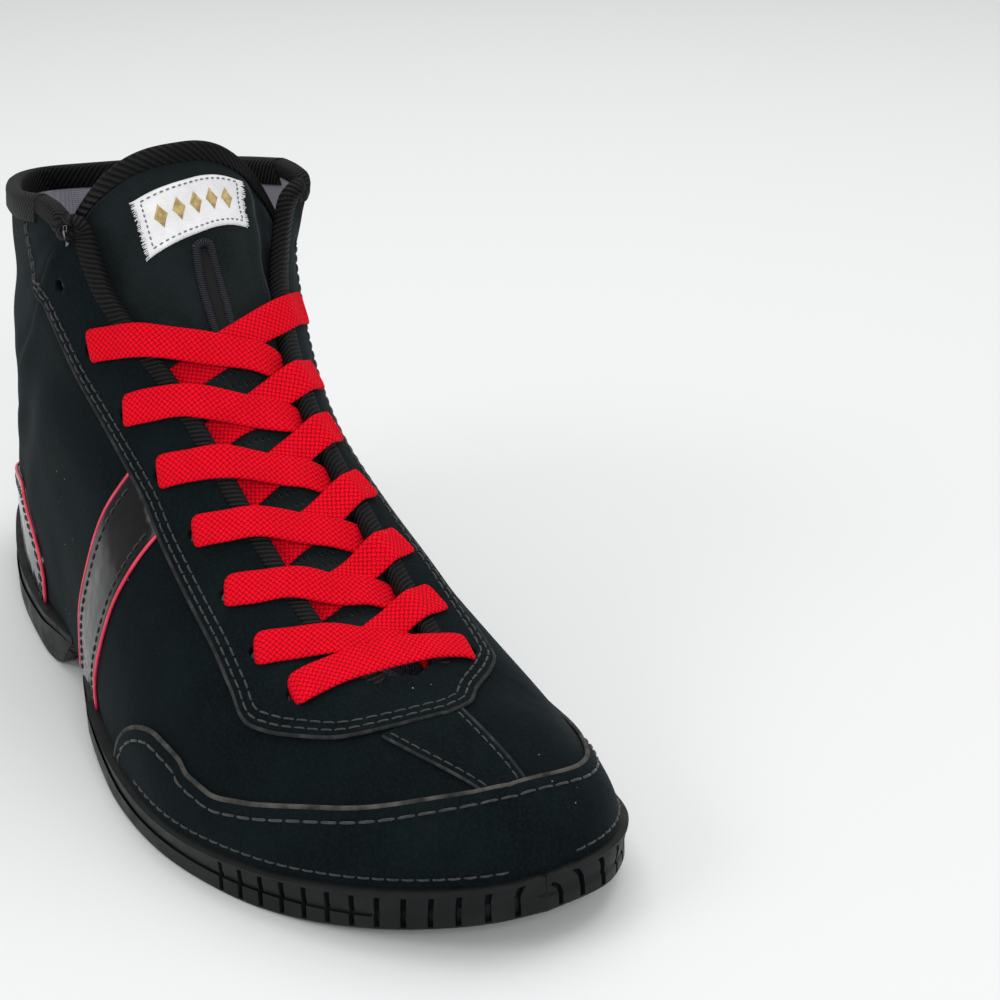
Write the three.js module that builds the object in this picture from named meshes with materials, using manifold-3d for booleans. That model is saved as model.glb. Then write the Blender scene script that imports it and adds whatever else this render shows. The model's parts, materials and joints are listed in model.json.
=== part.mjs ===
// Right wrestling shoe: suede high upper, split rubber sole, laced front.
// Millimetres. +X to the toe, +Y medial, +Z up. Built with the heel back near x = 0, then centred.
import * as THREE from 'three';
import { mergeVertices } from 'three/addons/utils/BufferGeometryUtils.js';
import Module from 'manifold-3d';

const wasm = await Module();
wasm.setup();

// Driving dimensions
const WALL = 2.0;            // suede and lining together
const GAP = 0.3;             // clearance between neighbouring pieces
const OVERLAY = 1.2;         // thickness of a suede or patent overlay
const RIM = 2.2;             // thickness of the sole's wrap on the upper
const LEDGE = 3.0;           // how far the tread reaches past the feather line
const INSOLE = 3.0;
const TONGUE = 3.0;
const LACE_WIDTH = 8.5;
const LACE_THICK = 1.4;
const HOLE_RADIUS = 1.6;     // punched lace hole
const LASTING_MARGIN = -0.16; // where the turned-under edge of the upper ends, as v
const CENTRE_LINE = -1;      // v of the middle of the sole or of the heel's back
const RIDGE = 1;             // v of the top or front line

// Sections of the last, a row each. A section is a plane from a point B on the sole or the heel's back
// to a point F on the ridge; the planes stand upright at the toe and lie level at the collar.
// bx bz, fx fz: the points B and F.  ridge: y of the ridge.
// footL footM: half widths of the flat underside.  sideL sideM: how far the side bulges.
// crownL crownM: half widths at the height of the ridge.  rise: height share of the side's bulge.
const COLUMNS = ['bx', 'bz', 'fx', 'fz', 'ridge', 'footL', 'footM', 'sideL', 'sideM', 'crownL', 'crownM', 'rise'];
const SECTIONS = [
  [270.0, 12.5, 270.0, 12.6, 14.0, -13.9, 14.1, -13.9, 14.1, 0.1, 0.1, 0.40],
  [267.5, 11.3, 269.0, 22.0, 14.0, -4.0, 27.5, -3.0, 29.0, 8.0, 8.0, 0.42],
  [262.0, 9.5, 264.5, 28.0, 13.5, 5.0, 35.0, 6.0, 38.5, 14.0, 16.0, 0.42],
  [252.0, 7.5, 255.0, 33.5, 12.5, 15.5, 42.0, 17.5, 46.0, 21.0, 23.0, 0.42],
  [237.0, 6.0, 241.0, 38.0, 11.0, 26.5, 45.5, 29.5, 49.5, 27.0, 28.0, 0.44],
  [218.0, 5.0, 223.0, 42.5, 9.5, 36.0, 47.0, 40.5, 51.5, 30.0, 30.0, 0.46],
  [197.0, 5.0, 204.0, 49.5, 8.0, 42.0, 45.5, 47.0, 50.5, 31.0, 31.0, 0.48],
  [175.0, 5.5, 187.0, 59.0, 7.0, 43.5, 39.5, 47.5, 48.0, 32.0, 31.0, 0.48],
  [152.0, 8.0, 170.0, 70.5, 6.0, 41.5, 31.5, 46.0, 43.0, 33.0, 30.0, 0.46],
  [128.0, 11.0, 153.5, 84.0, 5.0, 37.5, 25.0, 42.0, 38.0, 36.0, 30.0, 0.42],
  [102.0, 11.5, 138.0, 99.0, 4.0, 34.0, 24.0, 38.0, 36.5, 40.0, 35.0, 0.36],
  [77.0, 9.5, 128.0, 114.0, 4.0, 32.5, 26.5, 35.0, 35.5, 45.0, 41.0, 0.30],
  [52.0, 8.0, 125.0, 128.5, 4.0, 29.5, 28.0, 31.5, 34.5, 49.0, 48.0, 0.24],
  [30.0, 8.0, 128.0, 140.5, 4.0, 24.0, 26.0, 27.5, 32.5, 53.0, 54.0, 0.18],
  [12.0, 8.6, 136.0, 149.5, 4.0, 16.5, 19.5, 26.0, 31.0, 56.0, 59.0, 0.10],
  [3.5, 13.0, 143.0, 154.0, 4.0, 8.0, 10.0, 26.0, 31.0, 55.0, 60.0, 0.04],
  [0.8, 25.0, 147.0, 154.5, 4.0, 1.5, 3.0, 26.0, 29.5, 56.0, 62.0, 0.00],
  [1.5, 44.0, 149.0, 152.5, 4.0, -0.3, 1.0, 25.0, 28.0, 56.0, 63.0, 0.00],
  [4.5, 63.0, 150.0, 149.5, 4.0, -0.3, 1.0, 24.0, 27.0, 57.0, 64.0, 0.00],
  [7.0, 81.0, 150.0, 146.5, 4.0, -0.3, 1.0, 22.5, 25.0, 57.5, 65.0, 0.00],
  [7.5, 98.0, 150.0, 143.0, 4.0, -0.3, 1.0, 20.5, 23.0, 58.0, 65.5, 0.00],
  [6.5, 113.0, 149.5, 139.5, 4.0, -0.3, 1.0, 19.0, 21.5, 59.0, 65.5, 0.00],
];
const LAST_ROW = SECTIONS.length - 1;
const LATERAL = -1;
const MEDIAL = 1;

// Half gap of the throat, as the v where the quarters end, by section number t
const THROAT = [[5.05, 1.0], [5.1, 0.955], [5.3, 0.915], [5.8, 0.885], [7.5, 0.865], [9.4, 0.85], [10.6, 0.81], [11.5, 0.78],
  [12.8, 0.765], [14, 0.735], [15, 0.71], [16, 0.695], [17, 0.683], [18, 0.672], [19, 0.662], [20, 0.652], [21, 0.64]];

// Lace holes, bottom pair first: t and v on each side
const HOLES = [
  { t: 5.5, v: 0.70, tm: 5.3, vm: 0.79 },
  { t: 6.25, v: 0.69, tm: 6.2, vm: 0.77 },
  { t: 7.15, v: 0.70, tm: 7.15, vm: 0.76 },
  { t: 8.05, v: 0.70, tm: 8.05, vm: 0.76 },
  { t: 8.95, v: 0.69, tm: 8.95, vm: 0.76 },
  { t: 9.85, v: 0.69, tm: 9.85, vm: 0.74 },
  { t: 11.0, v: 0.685, tm: 11.0, vm: 0.69 },
  { t: 12.7, v: 0.67, tm: 12.7, vm: 0.67 },
];

// Linear look-up in a short table of pairs
function lookup(pairs, t) {
  if (t <= pairs[0][0]) return pairs[0][1];
  for (let i = 1; i < pairs.length; i += 1) {
    const [a, b] = [pairs[i - 1], pairs[i]];
    if (t <= b[0]) return a[1] + (b[1] - a[1]) * (t - a[0]) / (b[0] - a[0]);
  }
  return pairs[pairs.length - 1][1];
}

// Catmull-Rom between the rows of the section table
function section(t) {
  const n = LAST_ROW;
  const u = Math.min(Math.max(t, 0), n - 1e-9);
  const i = Math.floor(u);
  const f = u - i;
  const row = (k) => SECTIONS[Math.min(Math.max(k, 0), n)];
  const [a, b, c, d] = [row(i - 1), row(i), row(i + 1), row(i + 2)];
  const out = {};
  COLUMNS.forEach((name, j) => {
    out[name] = 0.5 * (2 * b[j] + (c[j] - a[j]) * f + (2 * a[j] - 5 * b[j] + 4 * c[j] - d[j]) * f * f
      + (3 * b[j] - a[j] - 3 * c[j] + d[j]) * f * f * f);
  });
  return out;
}

// Point on the last: v from the centre line (-1) by the feather edge (0) to the ridge (1)
function lastPoint(t, v, side) {
  const r = section(t);
  const foot = side < 0 ? -r.footL : r.footM;
  const bulge = side < 0 ? -r.sideL : r.sideM;
  const crown = r.ridge + (side < 0 ? -r.crownL : r.crownM);
  const middle = (r.footM - r.footL) / 2;
  let y;
  let s = 0;
  if (v < 0) {
    y = foot * (1 + v) - middle * v;
  } else {
    const w = 1 - v;
    const b = [w * w * w, 3 * v * w * w, 3 * v * v * w, v * v * v];
    y = b[0] * foot + b[1] * bulge + b[2] * crown + b[3] * r.ridge;
    s = b[1] * r.rise + b[2] + b[3];
  }
  return new THREE.Vector3(r.bx + s * (r.fx - r.bx), y, r.bz + s * (r.fz - r.bz));
}

function facing(t, v, side) {
  const dt = 0.02;
  const dv = 0.01;
  const t0 = Math.max(t - dt, 0.01);
  const t1 = Math.min(Math.max(t, 0.01) + dt, LAST_ROW);
  const v0 = Math.max(v - dv, CENTRE_LINE);
  const v1 = Math.min(v + dv, RIDGE);
  const alongT = lastPoint(t1, v, side).sub(lastPoint(t0, v, side));
  const alongV = lastPoint(Math.max(t, 0.01), v1, side).sub(lastPoint(Math.max(t, 0.01), v0, side));
  return alongT.cross(alongV).multiplyScalar(side).normalize();
}

// Outward direction, lengthened at the feather edge so that an offset keeps its thickness there
function outward(t, v, side) {
  if (t <= 0) return new THREE.Vector3(1, 0, 0);
  if (v <= CENTRE_LINE || v >= RIDGE) {
    const both = facing(t, v, LATERAL).add(facing(t, v, MEDIAL));
    return both.normalize();
  }
  if (v === 0) {
    const under = facing(t, -0.02, side);
    const over = facing(t, 0.02, side);
    const mean = under.clone().add(over).normalize();
    return mean.multiplyScalar(1 / Math.max(mean.dot(under), 0.72));
  }
  return facing(t, v, side);
}

function offsetPoint(t, v, side, distance) {
  return lastPoint(t, v, side).addScaledVector(outward(t, v, side), distance);
}

// Triangles as one closed body: points joined, collapsed faces and faces that cancel each other dropped
function toSolid(points, triangles) {
  const geometry = new THREE.BufferGeometry();
  geometry.setAttribute('position', new THREE.Float32BufferAttribute(points.flatMap((p) => [p.x, p.y, p.z]), 3));
  geometry.setIndex(triangles.flat());
  const merged = mergeVertices(geometry, 1e-3);
  const index = Array.from(merged.index.array);
  const faces = new Map();
  for (let i = 0; i < index.length; i += 3) {
    const face = index.slice(i, i + 3);
    if (new Set(face).size < 3) continue;
    const key = [...face].sort((a, b) => a - b).join();
    if (faces.has(key)) faces.delete(key);
    else faces.set(key, face);
  }
  const build = (turn) => new wasm.Manifold(new wasm.Mesh({
    numProp: 3,
    vertProperties: new Float32Array(merged.getAttribute('position').array),
    triVerts: new Uint32Array([...faces.values()].flatMap(([a, b, c]) => (turn ? [a, c, b] : [a, b, c]))),
  }));
  const solid = build(false);
  return solid.volume() < 0 ? build(true) : solid;
}

function geometryToSolid(geometry) {
  const position = geometry.getAttribute('position');
  const points = Array.from({ length: position.count }, (_, i) => new THREE.Vector3().fromBufferAttribute(position, i));
  const index = geometry.index ? Array.from(geometry.index.array) : points.map((_, i) => i);
  return toSolid(points, [index]);
}

function fromSolid(solid) {
  const mesh = solid.getMesh();
  const positions = new Float32Array(mesh.numVert * 3);
  for (let i = 0; i < mesh.numVert; i += 1) {
    for (let k = 0; k < 3; k += 1) positions[3 * i + k] = mesh.vertProperties[i * mesh.numProp + k];
  }
  const geometry = new THREE.BufferGeometry();
  geometry.setAttribute('position', new THREE.BufferAttribute(positions, 3));
  geometry.setIndex(Array.from(mesh.triVerts));
  return geometry;
}

// Sections and lines that every piece shares, so that neighbouring pieces have parallel facets
const T_ROWS = [0, 0.3, 0.65, 1, 1.5, 2, 2.6, 3.3, 4, 4.5, 5.05, 5.3, 5.7, 6.2, 6.8, 7.2, 7.7, 8.4, 9.3, 10.2, 11, 11.8,
  12.6, 13.4, 14, 14.6, 15.3, 16, 17, 18, 19.5, 21];
const V_LINES = [-1, -0.5, -0.16, 0, 0.09, 0.19, 0.31, 0.43, 0.55, 0.66, 0.77, 0.87, 0.95, 1];
const rowsBetween = (from, to, extra = []) => [...new Set([from, to, ...extra, ...T_ROWS.filter((t) => t > from && t < to)])]
  .sort((a, b) => a - b);

// Closes the sheet through the given points: a copy on each face and a strip along its free edge
function thicken(low, high, triangles) {
  const faces = triangles.filter(([a, b, c]) => a !== b && b !== c && c !== a);
  const edges = new Set(faces.flatMap(([a, b, c]) => [`${a},${b}`, `${b},${c}`, `${c},${a}`]));
  const n = low.length;
  const rim = [...edges].map((edge) => edge.split(',').map(Number)).filter(([a, b]) => !edges.has(`${b},${a}`));
  return toSolid([...low, ...high], [
    ...faces,
    ...faces.map(([a, b, c]) => [a + n, c + n, b + n]),
    ...rim.flatMap(([a, b]) => [[b, a, a + n], [b, a + n, b + n]]),
  ]);
}

// Sheet over a region of the last, from one offset to another. span(t, side) gives its lowest and highest v;
// where both sides reach the ridge or the centre line they are joined there.
function sheet({ rows, span, low, high, sides = [LATERAL, MEDIAL] }) {
  const keys = new Map();
  const params = [];
  const vertex = (t, v, side) => {
    const key = lastPoint(t, v, side).toArray().map((n) => Math.round(n * 200)).join();
    if (!keys.has(key)) {
      keys.set(key, params.length);
      params.push([t, v, side]);
    }
    return keys.get(key);
  };
  const triangles = [];
  for (const side of sides) {
    const grid = rows.filter((t) => span(t, side)).map((t) => {
      const [v0, v1] = span(t, side);
      return V_LINES.map((v) => vertex(t, Math.min(Math.max(v, v0), v1), side));
    });
    for (let i = 0; i + 1 < grid.length; i += 1) {
      for (let j = 0; j + 1 < grid[i].length; j += 1) {
        const quad = [grid[i][j], grid[i][j + 1], grid[i + 1][j + 1], grid[i + 1][j]];
        if (side > 0) quad.reverse();
        triangles.push([quad[0], quad[1], quad[2]], [quad[0], quad[2], quad[3]]);
      }
    }
  }
  return thicken(params.map((p) => offsetPoint(...p, low)), params.map((p) => offsetPoint(...p, high)), triangles);
}

// The largest body of a solid without the slivers that a cut leaves
const SLIVER = 0.01;
function mainBody(solid) {
  const bodies = solid.simplify(SLIVER).decompose();
  return bodies.reduce((best, next) => (next.volume() > best.volume() ? next : best));
}

// Upper: one wall, open at the collar, the throat and under the foot
const TOE_TURN = 0.65;       // section where the sole's opening starts
const HEEL_TURN = 14.3;      // section where the feather edge has come round to the heel's back
const throatEdge = (t) => lookup(THROAT, t);
function upper() {
  const wall = sheet({
    rows: rowsBetween(0, LAST_ROW, [5.12]),
    span: (t) => [t >= TOE_TURN && t < HEEL_TURN ? LASTING_MARGIN : CENTRE_LINE, throatEdge(t)],
    low: -WALL, high: 0,
  });
  return mainBody(HOLES.reduce((solid, { t, v, tm, vm }) => solid
    .subtract(punch(t, v, LATERAL, HOLE_RADIUS)).subtract(punch(tm, vm, MEDIAL, HOLE_RADIUS)), wall));
}

// Pin square through the wall
function punch(t, v, side, radius) {
  const pin = new THREE.CylinderGeometry(radius, radius, 12, 6);
  pin.applyQuaternion(new THREE.Quaternion().setFromUnitVectors(new THREE.Vector3(0, 1, 0), outward(t, v, side)));
  pin.translate(...lastPoint(t, v, side).toArray());
  return geometryToSolid(pin);
}

const INSOLE_INSET = 4.5;    // from the feather edge to the insole's edge
function insole() {
  const halfWidth = (t) => (section(t).footM + section(t).footL) / 2;
  return sheet({
    rows: rowsBetween(1.5, 13.4), span: (t) => [CENTRE_LINE, -INSOLE_INSET / halfWidth(t)],
    low: -WALL - GAP - INSOLE, high: -WALL - GAP,
  });
}

// Top edge of the rubber on the upper, above the ground, by place along the shoe: lateral and medial
const FOREFOOT_RIM = [
  { x: 124, lateral: 12.0, medial: 12.2 },
  { x: 140, lateral: 11.8, medial: 13.4 },
  { x: 152, lateral: 11.4, medial: 14.4 },
  { x: 168, lateral: 10.4, medial: 14.6 },
  { x: 188, lateral: 9.6, medial: 12.2 },
  { x: 205, lateral: 9.4, medial: 10.2 },
  { x: 225, lateral: 10.2, medial: 10.6 },
  { x: 245, lateral: 12.2, medial: 12.4 },
  { x: 260, lateral: 14.6, medial: 14.6 },
  { x: 271, lateral: 17.2, medial: 17.2 },
];
const HEEL_RIM = [
  { x: 0, lateral: 17.5, medial: 17.5 },
  { x: 12, lateral: 15.5, medial: 15.5 },
  { x: 40, lateral: 13.2, medial: 13.2 },
  { x: 106, lateral: 13.6, medial: 13.6 },
];
const rimAt = (rim, x, side) => lookup(rim.map((r) => [r.x, side < 0 ? r.lateral : r.medial]), x);

// v where the upper reaches the rubber's top edge on one side
function rimV(rim, t, side) {
  const above = (v) => {
    const p = lastPoint(t, v, side);
    return p.z - rimAt(rim, p.x, side);
  };
  if (above(1) < 0) return 1;
  if (above(0) > 0) return 0;
  let [a, b] = [0, 1];
  for (let i = 0; i < 30; i += 1) {
    const mid = (a + b) / 2;
    if (above(mid) > 0) b = mid;
    else a = mid;
  }
  return (a + b) / 2;
}

// Height of the underside: flat tread, toe spring, and the bevels towards the arch and behind the heel
const TOE_SPRING = { from: 222, height: 8, power: 1.8 };
const FOREFOOT_BREAK = 168;  // where the forefoot tread leaves the ground towards the arch
const FOREFOOT_END = 9.3;    // section where the forefoot rubber ends under the arch
const HEEL_START = 9.9;      // section where the heel rubber starts
const HEEL_BREAK = 93;       // where the heel tread leaves the ground towards the arch
const HEEL_CLOSE = 15.6;     // section where the heel's wrap closes over the back
function forefootTread(t) {
  const x = section(t).bx;
  const spring = Math.max((x - TOE_SPRING.from) / (270 - TOE_SPRING.from), 0);
  const arch = Math.max(FOREFOOT_BREAK - x, 0);
  return TOE_SPRING.height * spring ** TOE_SPRING.power + 0.003 * arch ** 2 + 0.035 * arch;
}
function heelTread(t) {
  const x = section(t).bx;
  return 0.05 * Math.max(x - HEEL_BREAK, 0) ** 2 + 0.012 * Math.max(10 - x, 0) ** 2;
}

// Half profile of a sole: from the middle of the tread by the ledge and the wrap to the middle of the seat
const FEATHER_TOP = 13;      // the tread's ledge stays below this height
const WRAP_OUTER = [0.3, 0.65, 1]; // shares of the wrap's height, up its outside
const WRAP_INNER = [1, 0.5, 0]; // and down its inside
const SEAT_GAP = 0.5;         // clearance between the sole and the upper
function soleHalf(t, side, tread, rim) {
  const foot = lastPoint(t, 0, side);
  const before = lastPoint(Math.max(t, 0.05) - 0.05, 0, side);
  const after = lastPoint(Math.max(t, 0.05) + 0.05, 0, side);
  const out = t <= 0 ? new THREE.Vector3(1, 0, 0)
    : new THREE.Vector3(after.y - before.y, before.x - after.x, 0).multiplyScalar(side).normalize();
  const z = tread(t);
  const feather = Math.min(foot.z, FEATHER_TOP);
  const at = (reach, height) => foot.clone().addScaledVector(out, reach).setZ(height);
  const top = rimV(rim, t, side);
  return [
    lastPoint(t, CENTRE_LINE, side).setZ(z),
    at(LEDGE - 1.6, z),
    at(LEDGE, z + Math.min(1.6, (feather - z) * 0.4)),
    at(LEDGE, feather - 0.5),
    ...WRAP_OUTER.map((f) => offsetPoint(t, f * top, side, GAP + RIM)),
    ...WRAP_INNER.map((f) => offsetPoint(t, f * top, side, SEAT_GAP)),
    offsetPoint(t, -0.5, side, SEAT_GAP),
    offsetPoint(t, CENTRE_LINE, side, SEAT_GAP),
  ];
}

// Loft of two half profiles. An end is zipped from side to side, or closed by a flat face.
function loft(rows, half, ends) {
  const points = [];
  const triangles = [];
  const rings = rows.map((t) => {
    const start = points.length;
    points.push(...half(t, LATERAL), ...half(t, MEDIAL).reverse());
    return Array.from({ length: points.length - start }, (_, k) => start + k);
  });
  const count = rings[0].length;
  for (let i = 0; i + 1 < rings.length; i += 1) {
    for (let j = 0; j < count; j += 1) {
      const k = (j + 1) % count;
      const [a, b, c, d] = [rings[i][j], rings[i][k], rings[i + 1][k], rings[i + 1][j]];
      if (j < count / 2) triangles.push([a, b, c], [a, c, d]);
      else triangles.push([a, b, d], [b, c, d]);
    }
  }
  [rings[0], rings[rings.length - 1]].forEach((ring, end) => {
    const faces = [];
    if (ends[end] === 'zip') {
      for (let j = 0; j + 1 < count / 2; j += 1) {
        const [a, b, c, d] = [ring[j], ring[j + 1], ring[count - 2 - j], ring[count - 1 - j]];
        faces.push([a, b, d], [b, c, d]);
      }
    } else {
      const flat = ring.map((i) => new THREE.Vector2(points[i].y, points[i].z));
      const area = THREE.ShapeUtils.area(flat);
      THREE.ShapeUtils.triangulateShape(flat, []).forEach((face) => {
        const same = THREE.ShapeUtils.area(face.map((k) => flat[k])) * area > 0;
        const corners = face.map((k) => ring[k]);
        faces.push(same ? corners : corners.reverse());
      });
    }
    triangles.push(...(end === 0 ? faces.map((f) => f.reverse()) : faces));
  });
  return toSolid(points, triangles);
}

const SLOT = { width: 1.1, depth: 1.3, pitch: 5.8, lateralFrom: 214, medialFrom: 203 };
// Upright slots in the rubber round the toe, evenly spaced along the feather edge
function slots() {
  const boxes = [];
  for (const side of [LATERAL, MEDIAL]) {
    const from = side < 0 ? SLOT.lateralFrom : SLOT.medialFrom;
    let walked = side < 0 ? 0 : SLOT.pitch / 2;
    let previous = lastPoint(0, 0, side);
    for (let t = 0.01; section(t).bx > from; t += 0.01) {
      const foot = lastPoint(t, 0, side);
      const step = foot.clone().sub(previous).setZ(0);
      walked += step.length();
      previous = foot;
      if (walked < SLOT.pitch) continue;
      walked -= SLOT.pitch;
      const low = forefootTread(t) + 2.3;
      const high = foot.z + 1.6;
      const box = new THREE.BoxGeometry(SLOT.width, 2 * SLOT.depth, high - low);
      box.rotateZ(Math.atan2(step.y, step.x));
      const out = new THREE.Vector3(step.y, -step.x, 0).multiplyScalar(side).normalize();
      foot.addScaledVector(out, LEDGE).setZ((low + high) / 2);
      box.translate(...foot.toArray());
      boxes.push(geometryToSolid(box));
    }
  }
  return boxes;
}
const forefootOutsole = () => mainBody(slots().reduce(
  (solid, slot) => solid.subtract(slot),
  loft(rowsBetween(0, FOREFOOT_END), (t, side) => soleHalf(t, side, forefootTread, FOREFOOT_RIM), ['zip', 'flat']),
));
const heelOutsole = () => loft(rowsBetween(HEEL_START, HEEL_CLOSE),
  (t, side) => soleHalf(t, side, heelTread, HEEL_RIM), ['flat', 'zip']);

// Tongue: its middle runs along its own line, its edges tuck under the quarters
const TONGUE_COLUMNS = ['t', 'x', 'y', 'z', 'edgeL', 'edgeM'];
const TONGUE_ROWS = [
  [5.5, 211.5, 9.0, 42.0, 5.5, 5.5],
  [6.4, 194.0, 8.5, 49.5, 6.4, 6.4],
  [7.2, 180.5, 8.0, 57.6, 7.2, 7.2],
  [8.0, 167.2, 7.5, 66.6, 8.0, 8.0],
  [8.8, 154.0, 7.0, 77.4, 8.8, 8.8],
  [9.6, 142.0, 6.5, 89.0, 9.6, 9.6],
  [10.4, 131.5, 6.0, 101.0, 10.4, 10.4],
  [11.2, 123.5, 5.5, 113.5, 11.2, 11.2],
  [12.0, 118.0, 5.0, 126.0, 12.2, 12.0],
  [12.8, 114.5, 4.5, 135.5, 14.0, 12.8],
  [13.4, 112.5, 4.0, 142.0, 17.0, 13.6],
];
const TUCK = 0.1;            // how far the tongue's edge lies under the quarter, as v
const TONGUE_ROUND = 2.2;    // how square the tongue's arch is from side to side
const TONGUE_SHOULDER = { from: 5, over: 4, more: 1.1 }; // the lateral shoulder is squarer towards the top
function tonguePoint(row, w, rise) {
  const first = Math.min(Math.floor(row), TONGUE_ROWS.length - 2);
  const r = Object.fromEntries(TONGUE_COLUMNS.map((name, j) => [
    name, THREE.MathUtils.lerp(TONGUE_ROWS[first][j], TONGUE_ROWS[first + 1][j], row - first),
  ]));
  const side = w < 0 ? LATERAL : MEDIAL;
  const t = side < 0 ? r.edgeL : r.edgeM;
  const v = Math.min(throatEdge(t), throatEdge(5.5)) - TUCK;
  const edge = offsetPoint(t, v, side, -WALL - GAP - TONGUE / 2 - 0.5);
  const middle = new THREE.Vector3(r.x, r.y, r.z);
  const f = Math.abs(w);
  const shoulder = THREE.MathUtils.clamp((row - TONGUE_SHOULDER.from) / TONGUE_SHOULDER.over, 0, 1);
  const arch = 1 - f ** (TONGUE_ROUND + (side < 0 ? TONGUE_SHOULDER.more * shoulder : 0));
  const p = new THREE.Vector3(edge.x + (middle.x - edge.x) * arch, middle.y + (edge.y - middle.y) * f,
    edge.z + (middle.z - edge.z) * arch);
  return rise ? p.addScaledVector(tongueOutward(row, w), rise) : p;
}
function tongueOutward(row, w) {
  const a = tonguePoint(Math.max(row - 1, 0), w, 0);
  const b = tonguePoint(Math.min(row + 1, TONGUE_ROWS.length - 1), w, 0);
  const c = tonguePoint(row, Math.max(w - 0.05, -1), 0);
  const d = tonguePoint(row, Math.min(w + 0.05, 1), 0);
  return b.sub(a).cross(c.sub(d)).normalize();
}
const TONGUE_ACROSS = 14;
function tongue() {
  const rows = TONGUE_ROWS.map((_, i) => i);
  const across = Array.from({ length: TONGUE_ACROSS + 1 }, (_, j) => 2 * j / TONGUE_ACROSS - 1);
  const face = (rise) => rows.flatMap((i) => across.map((w) => tonguePoint(i, w, rise * Math.sqrt(1 - 0.8 * w * w))));
  const triangles = [];
  const n = TONGUE_ACROSS + 1;
  rows.slice(1).forEach((_, i) => across.slice(1).forEach((__, j) => {
    const a = i * n + j;
    triangles.push([a, a + 1, a + n + 1], [a, a + n + 1, a + n]);
  }));
  return thicken(face(-TONGUE / 2), face(TONGUE / 2), triangles);
}

// Overlays on the suede. Each table gives v of an edge by section t.
const overlay = (options) => sheet({ low: GAP, high: GAP + OVERLAY, ...options });
const EDGE_CLEAR = 0.03;     // clearance from the rubber's top edge, as v
const GUARD_TOP = {
  lateral: [[2.67, 1], [2.78, 0.88], [3.0, 0.76], [3.62, 0.56], [4.35, 0.43], [5.03, 0.33], [5.44, 0.29], [5.8, 0.29],
    [6.06, 0.31], [6.54, 0.3], [6.96, 0.25], [7.3, 0.17], [7.6, 0.06]],
  medial: [[2.67, 1], [2.72, 0.84], [2.9, 0.69], [3.3, 0.56], [3.9, 0.46], [4.5, 0.38], [5.2, 0.32], [6.0, 0.3],
    [6.6, 0.32], [7.1, 0.33], [7.7, 0.27], [8.3, 0.17], [8.7, 0.12]],
};
const GUARD_START = 0.55;
const GUARD_BACK = { lateral: 7.2, medial: 7.7 };
const toeGuard = () => overlay({
  rows: rowsBetween(GUARD_START, GUARD_BACK.medial, [2.67, 2.75, 2.9]),
  span: (t, side) => {
    const top = lookup(side < 0 ? GUARD_TOP.lateral : GUARD_TOP.medial, t);
    const low = Math.min(rimV(FOREFOOT_RIM, t, side) + EDGE_CLEAR, 0.97);
    return t > GUARD_BACK.lateral && side < 0 ? null : [Math.min(low, top), top];
  },
});

const BIB_BACK = 6.8;
const BIB_EDGE = {
  lateral: [[4.3, 1], [4.36, 0.9], [4.5, 0.79], [4.67, 0.71], [5.02, 0.63], [5.3, 0.58], [5.62, 0.55], [6.08, 0.58], [6.8, 0.62]],
  medial: [[4.3, 1], [4.38, 0.93], [4.63, 0.87], [5.0, 0.76], [5.33, 0.69], [6.0, 0.665], [6.8, 0.66]],
};
const throatBib = () => overlay({
  rows: rowsBetween(4.3, BIB_BACK, [4.36, 4.65, 5.12]),
  span: (t, side) => [lookup(side < 0 ? BIB_EDGE.lateral : BIB_EDGE.medial, t), throatEdge(t)],
});

const EYESTAY_SEAM = {
  lateral: [[6.8, 0.6], [8.3, 0.61], [8.9, 0.62], [12.5, 0.62], [17.8, 0.56], [21, 0.54]],
  medial: [[6.8, 0.64], [9.0, 0.66], [10.5, 0.64], [12.5, 0.62], [17.8, 0.56], [21, 0.54]],
};
const eyestay = (side) => overlay({
  rows: rowsBetween(BIB_BACK + 0.03, LAST_ROW), sides: [side],
  span: (t) => [lookup(side < 0 ? EYESTAY_SEAM.lateral : EYESTAY_SEAM.medial, t), throatEdge(t)],
});

const STRIP = { from: 2.85, to: 4.27, lateral: [[2.7, 0.9], [4.27, 0.8]], medial: [[2.7, 0.93], [4.27, 0.96]] };
const vampStrip = () => overlay({
  rows: rowsBetween(STRIP.from, STRIP.to),
  span: (t, side) => [Math.max(lookup(side < 0 ? STRIP.lateral : STRIP.medial, t),
    lookup(side < 0 ? GUARD_TOP.lateral : GUARD_TOP.medial, t) > 0.97 ? 1 : 0), 1],
  high: GAP + 0.7,
});

const COUNTER_TOP = [[11, 0.1], [11.3, 0.17], [12.0, 0.225], [12.8, 0.25], [13.6, 0.25], [14.6, 0.235], [15.4, 0.2],
  [16.2, 0.13], [16.8, 0.04], [17.0, -1]];
const heelCounter = () => overlay({
  rows: rowsBetween(11, 17, [15.5, 16.5, 16.8]),
  span: (t, side) => [t > HEEL_CLOSE ? CENTRE_LINE : rimV(HEEL_RIM, t, side) + EDGE_CLEAR, lookup(COUNTER_TOP, t)],
});

const BAND = { lateral: [8.4, 9.3], medial: [9.3, 10.2], top: -0.02, low: 0.06 };
const saddleBand = (side) => overlay({
  rows: rowsBetween(...(side < 0 ? BAND.lateral : BAND.medial)), sides: [side],
  span: (t) => [
    Math.max(rimV(FOREFOOT_RIM, t, side), rimV(HEEL_RIM, t, side)) + BAND.low,
    lookup(side < 0 ? EYESTAY_SEAM.lateral : EYESTAY_SEAM.medial, t) + BAND.top,
  ],
});

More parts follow.
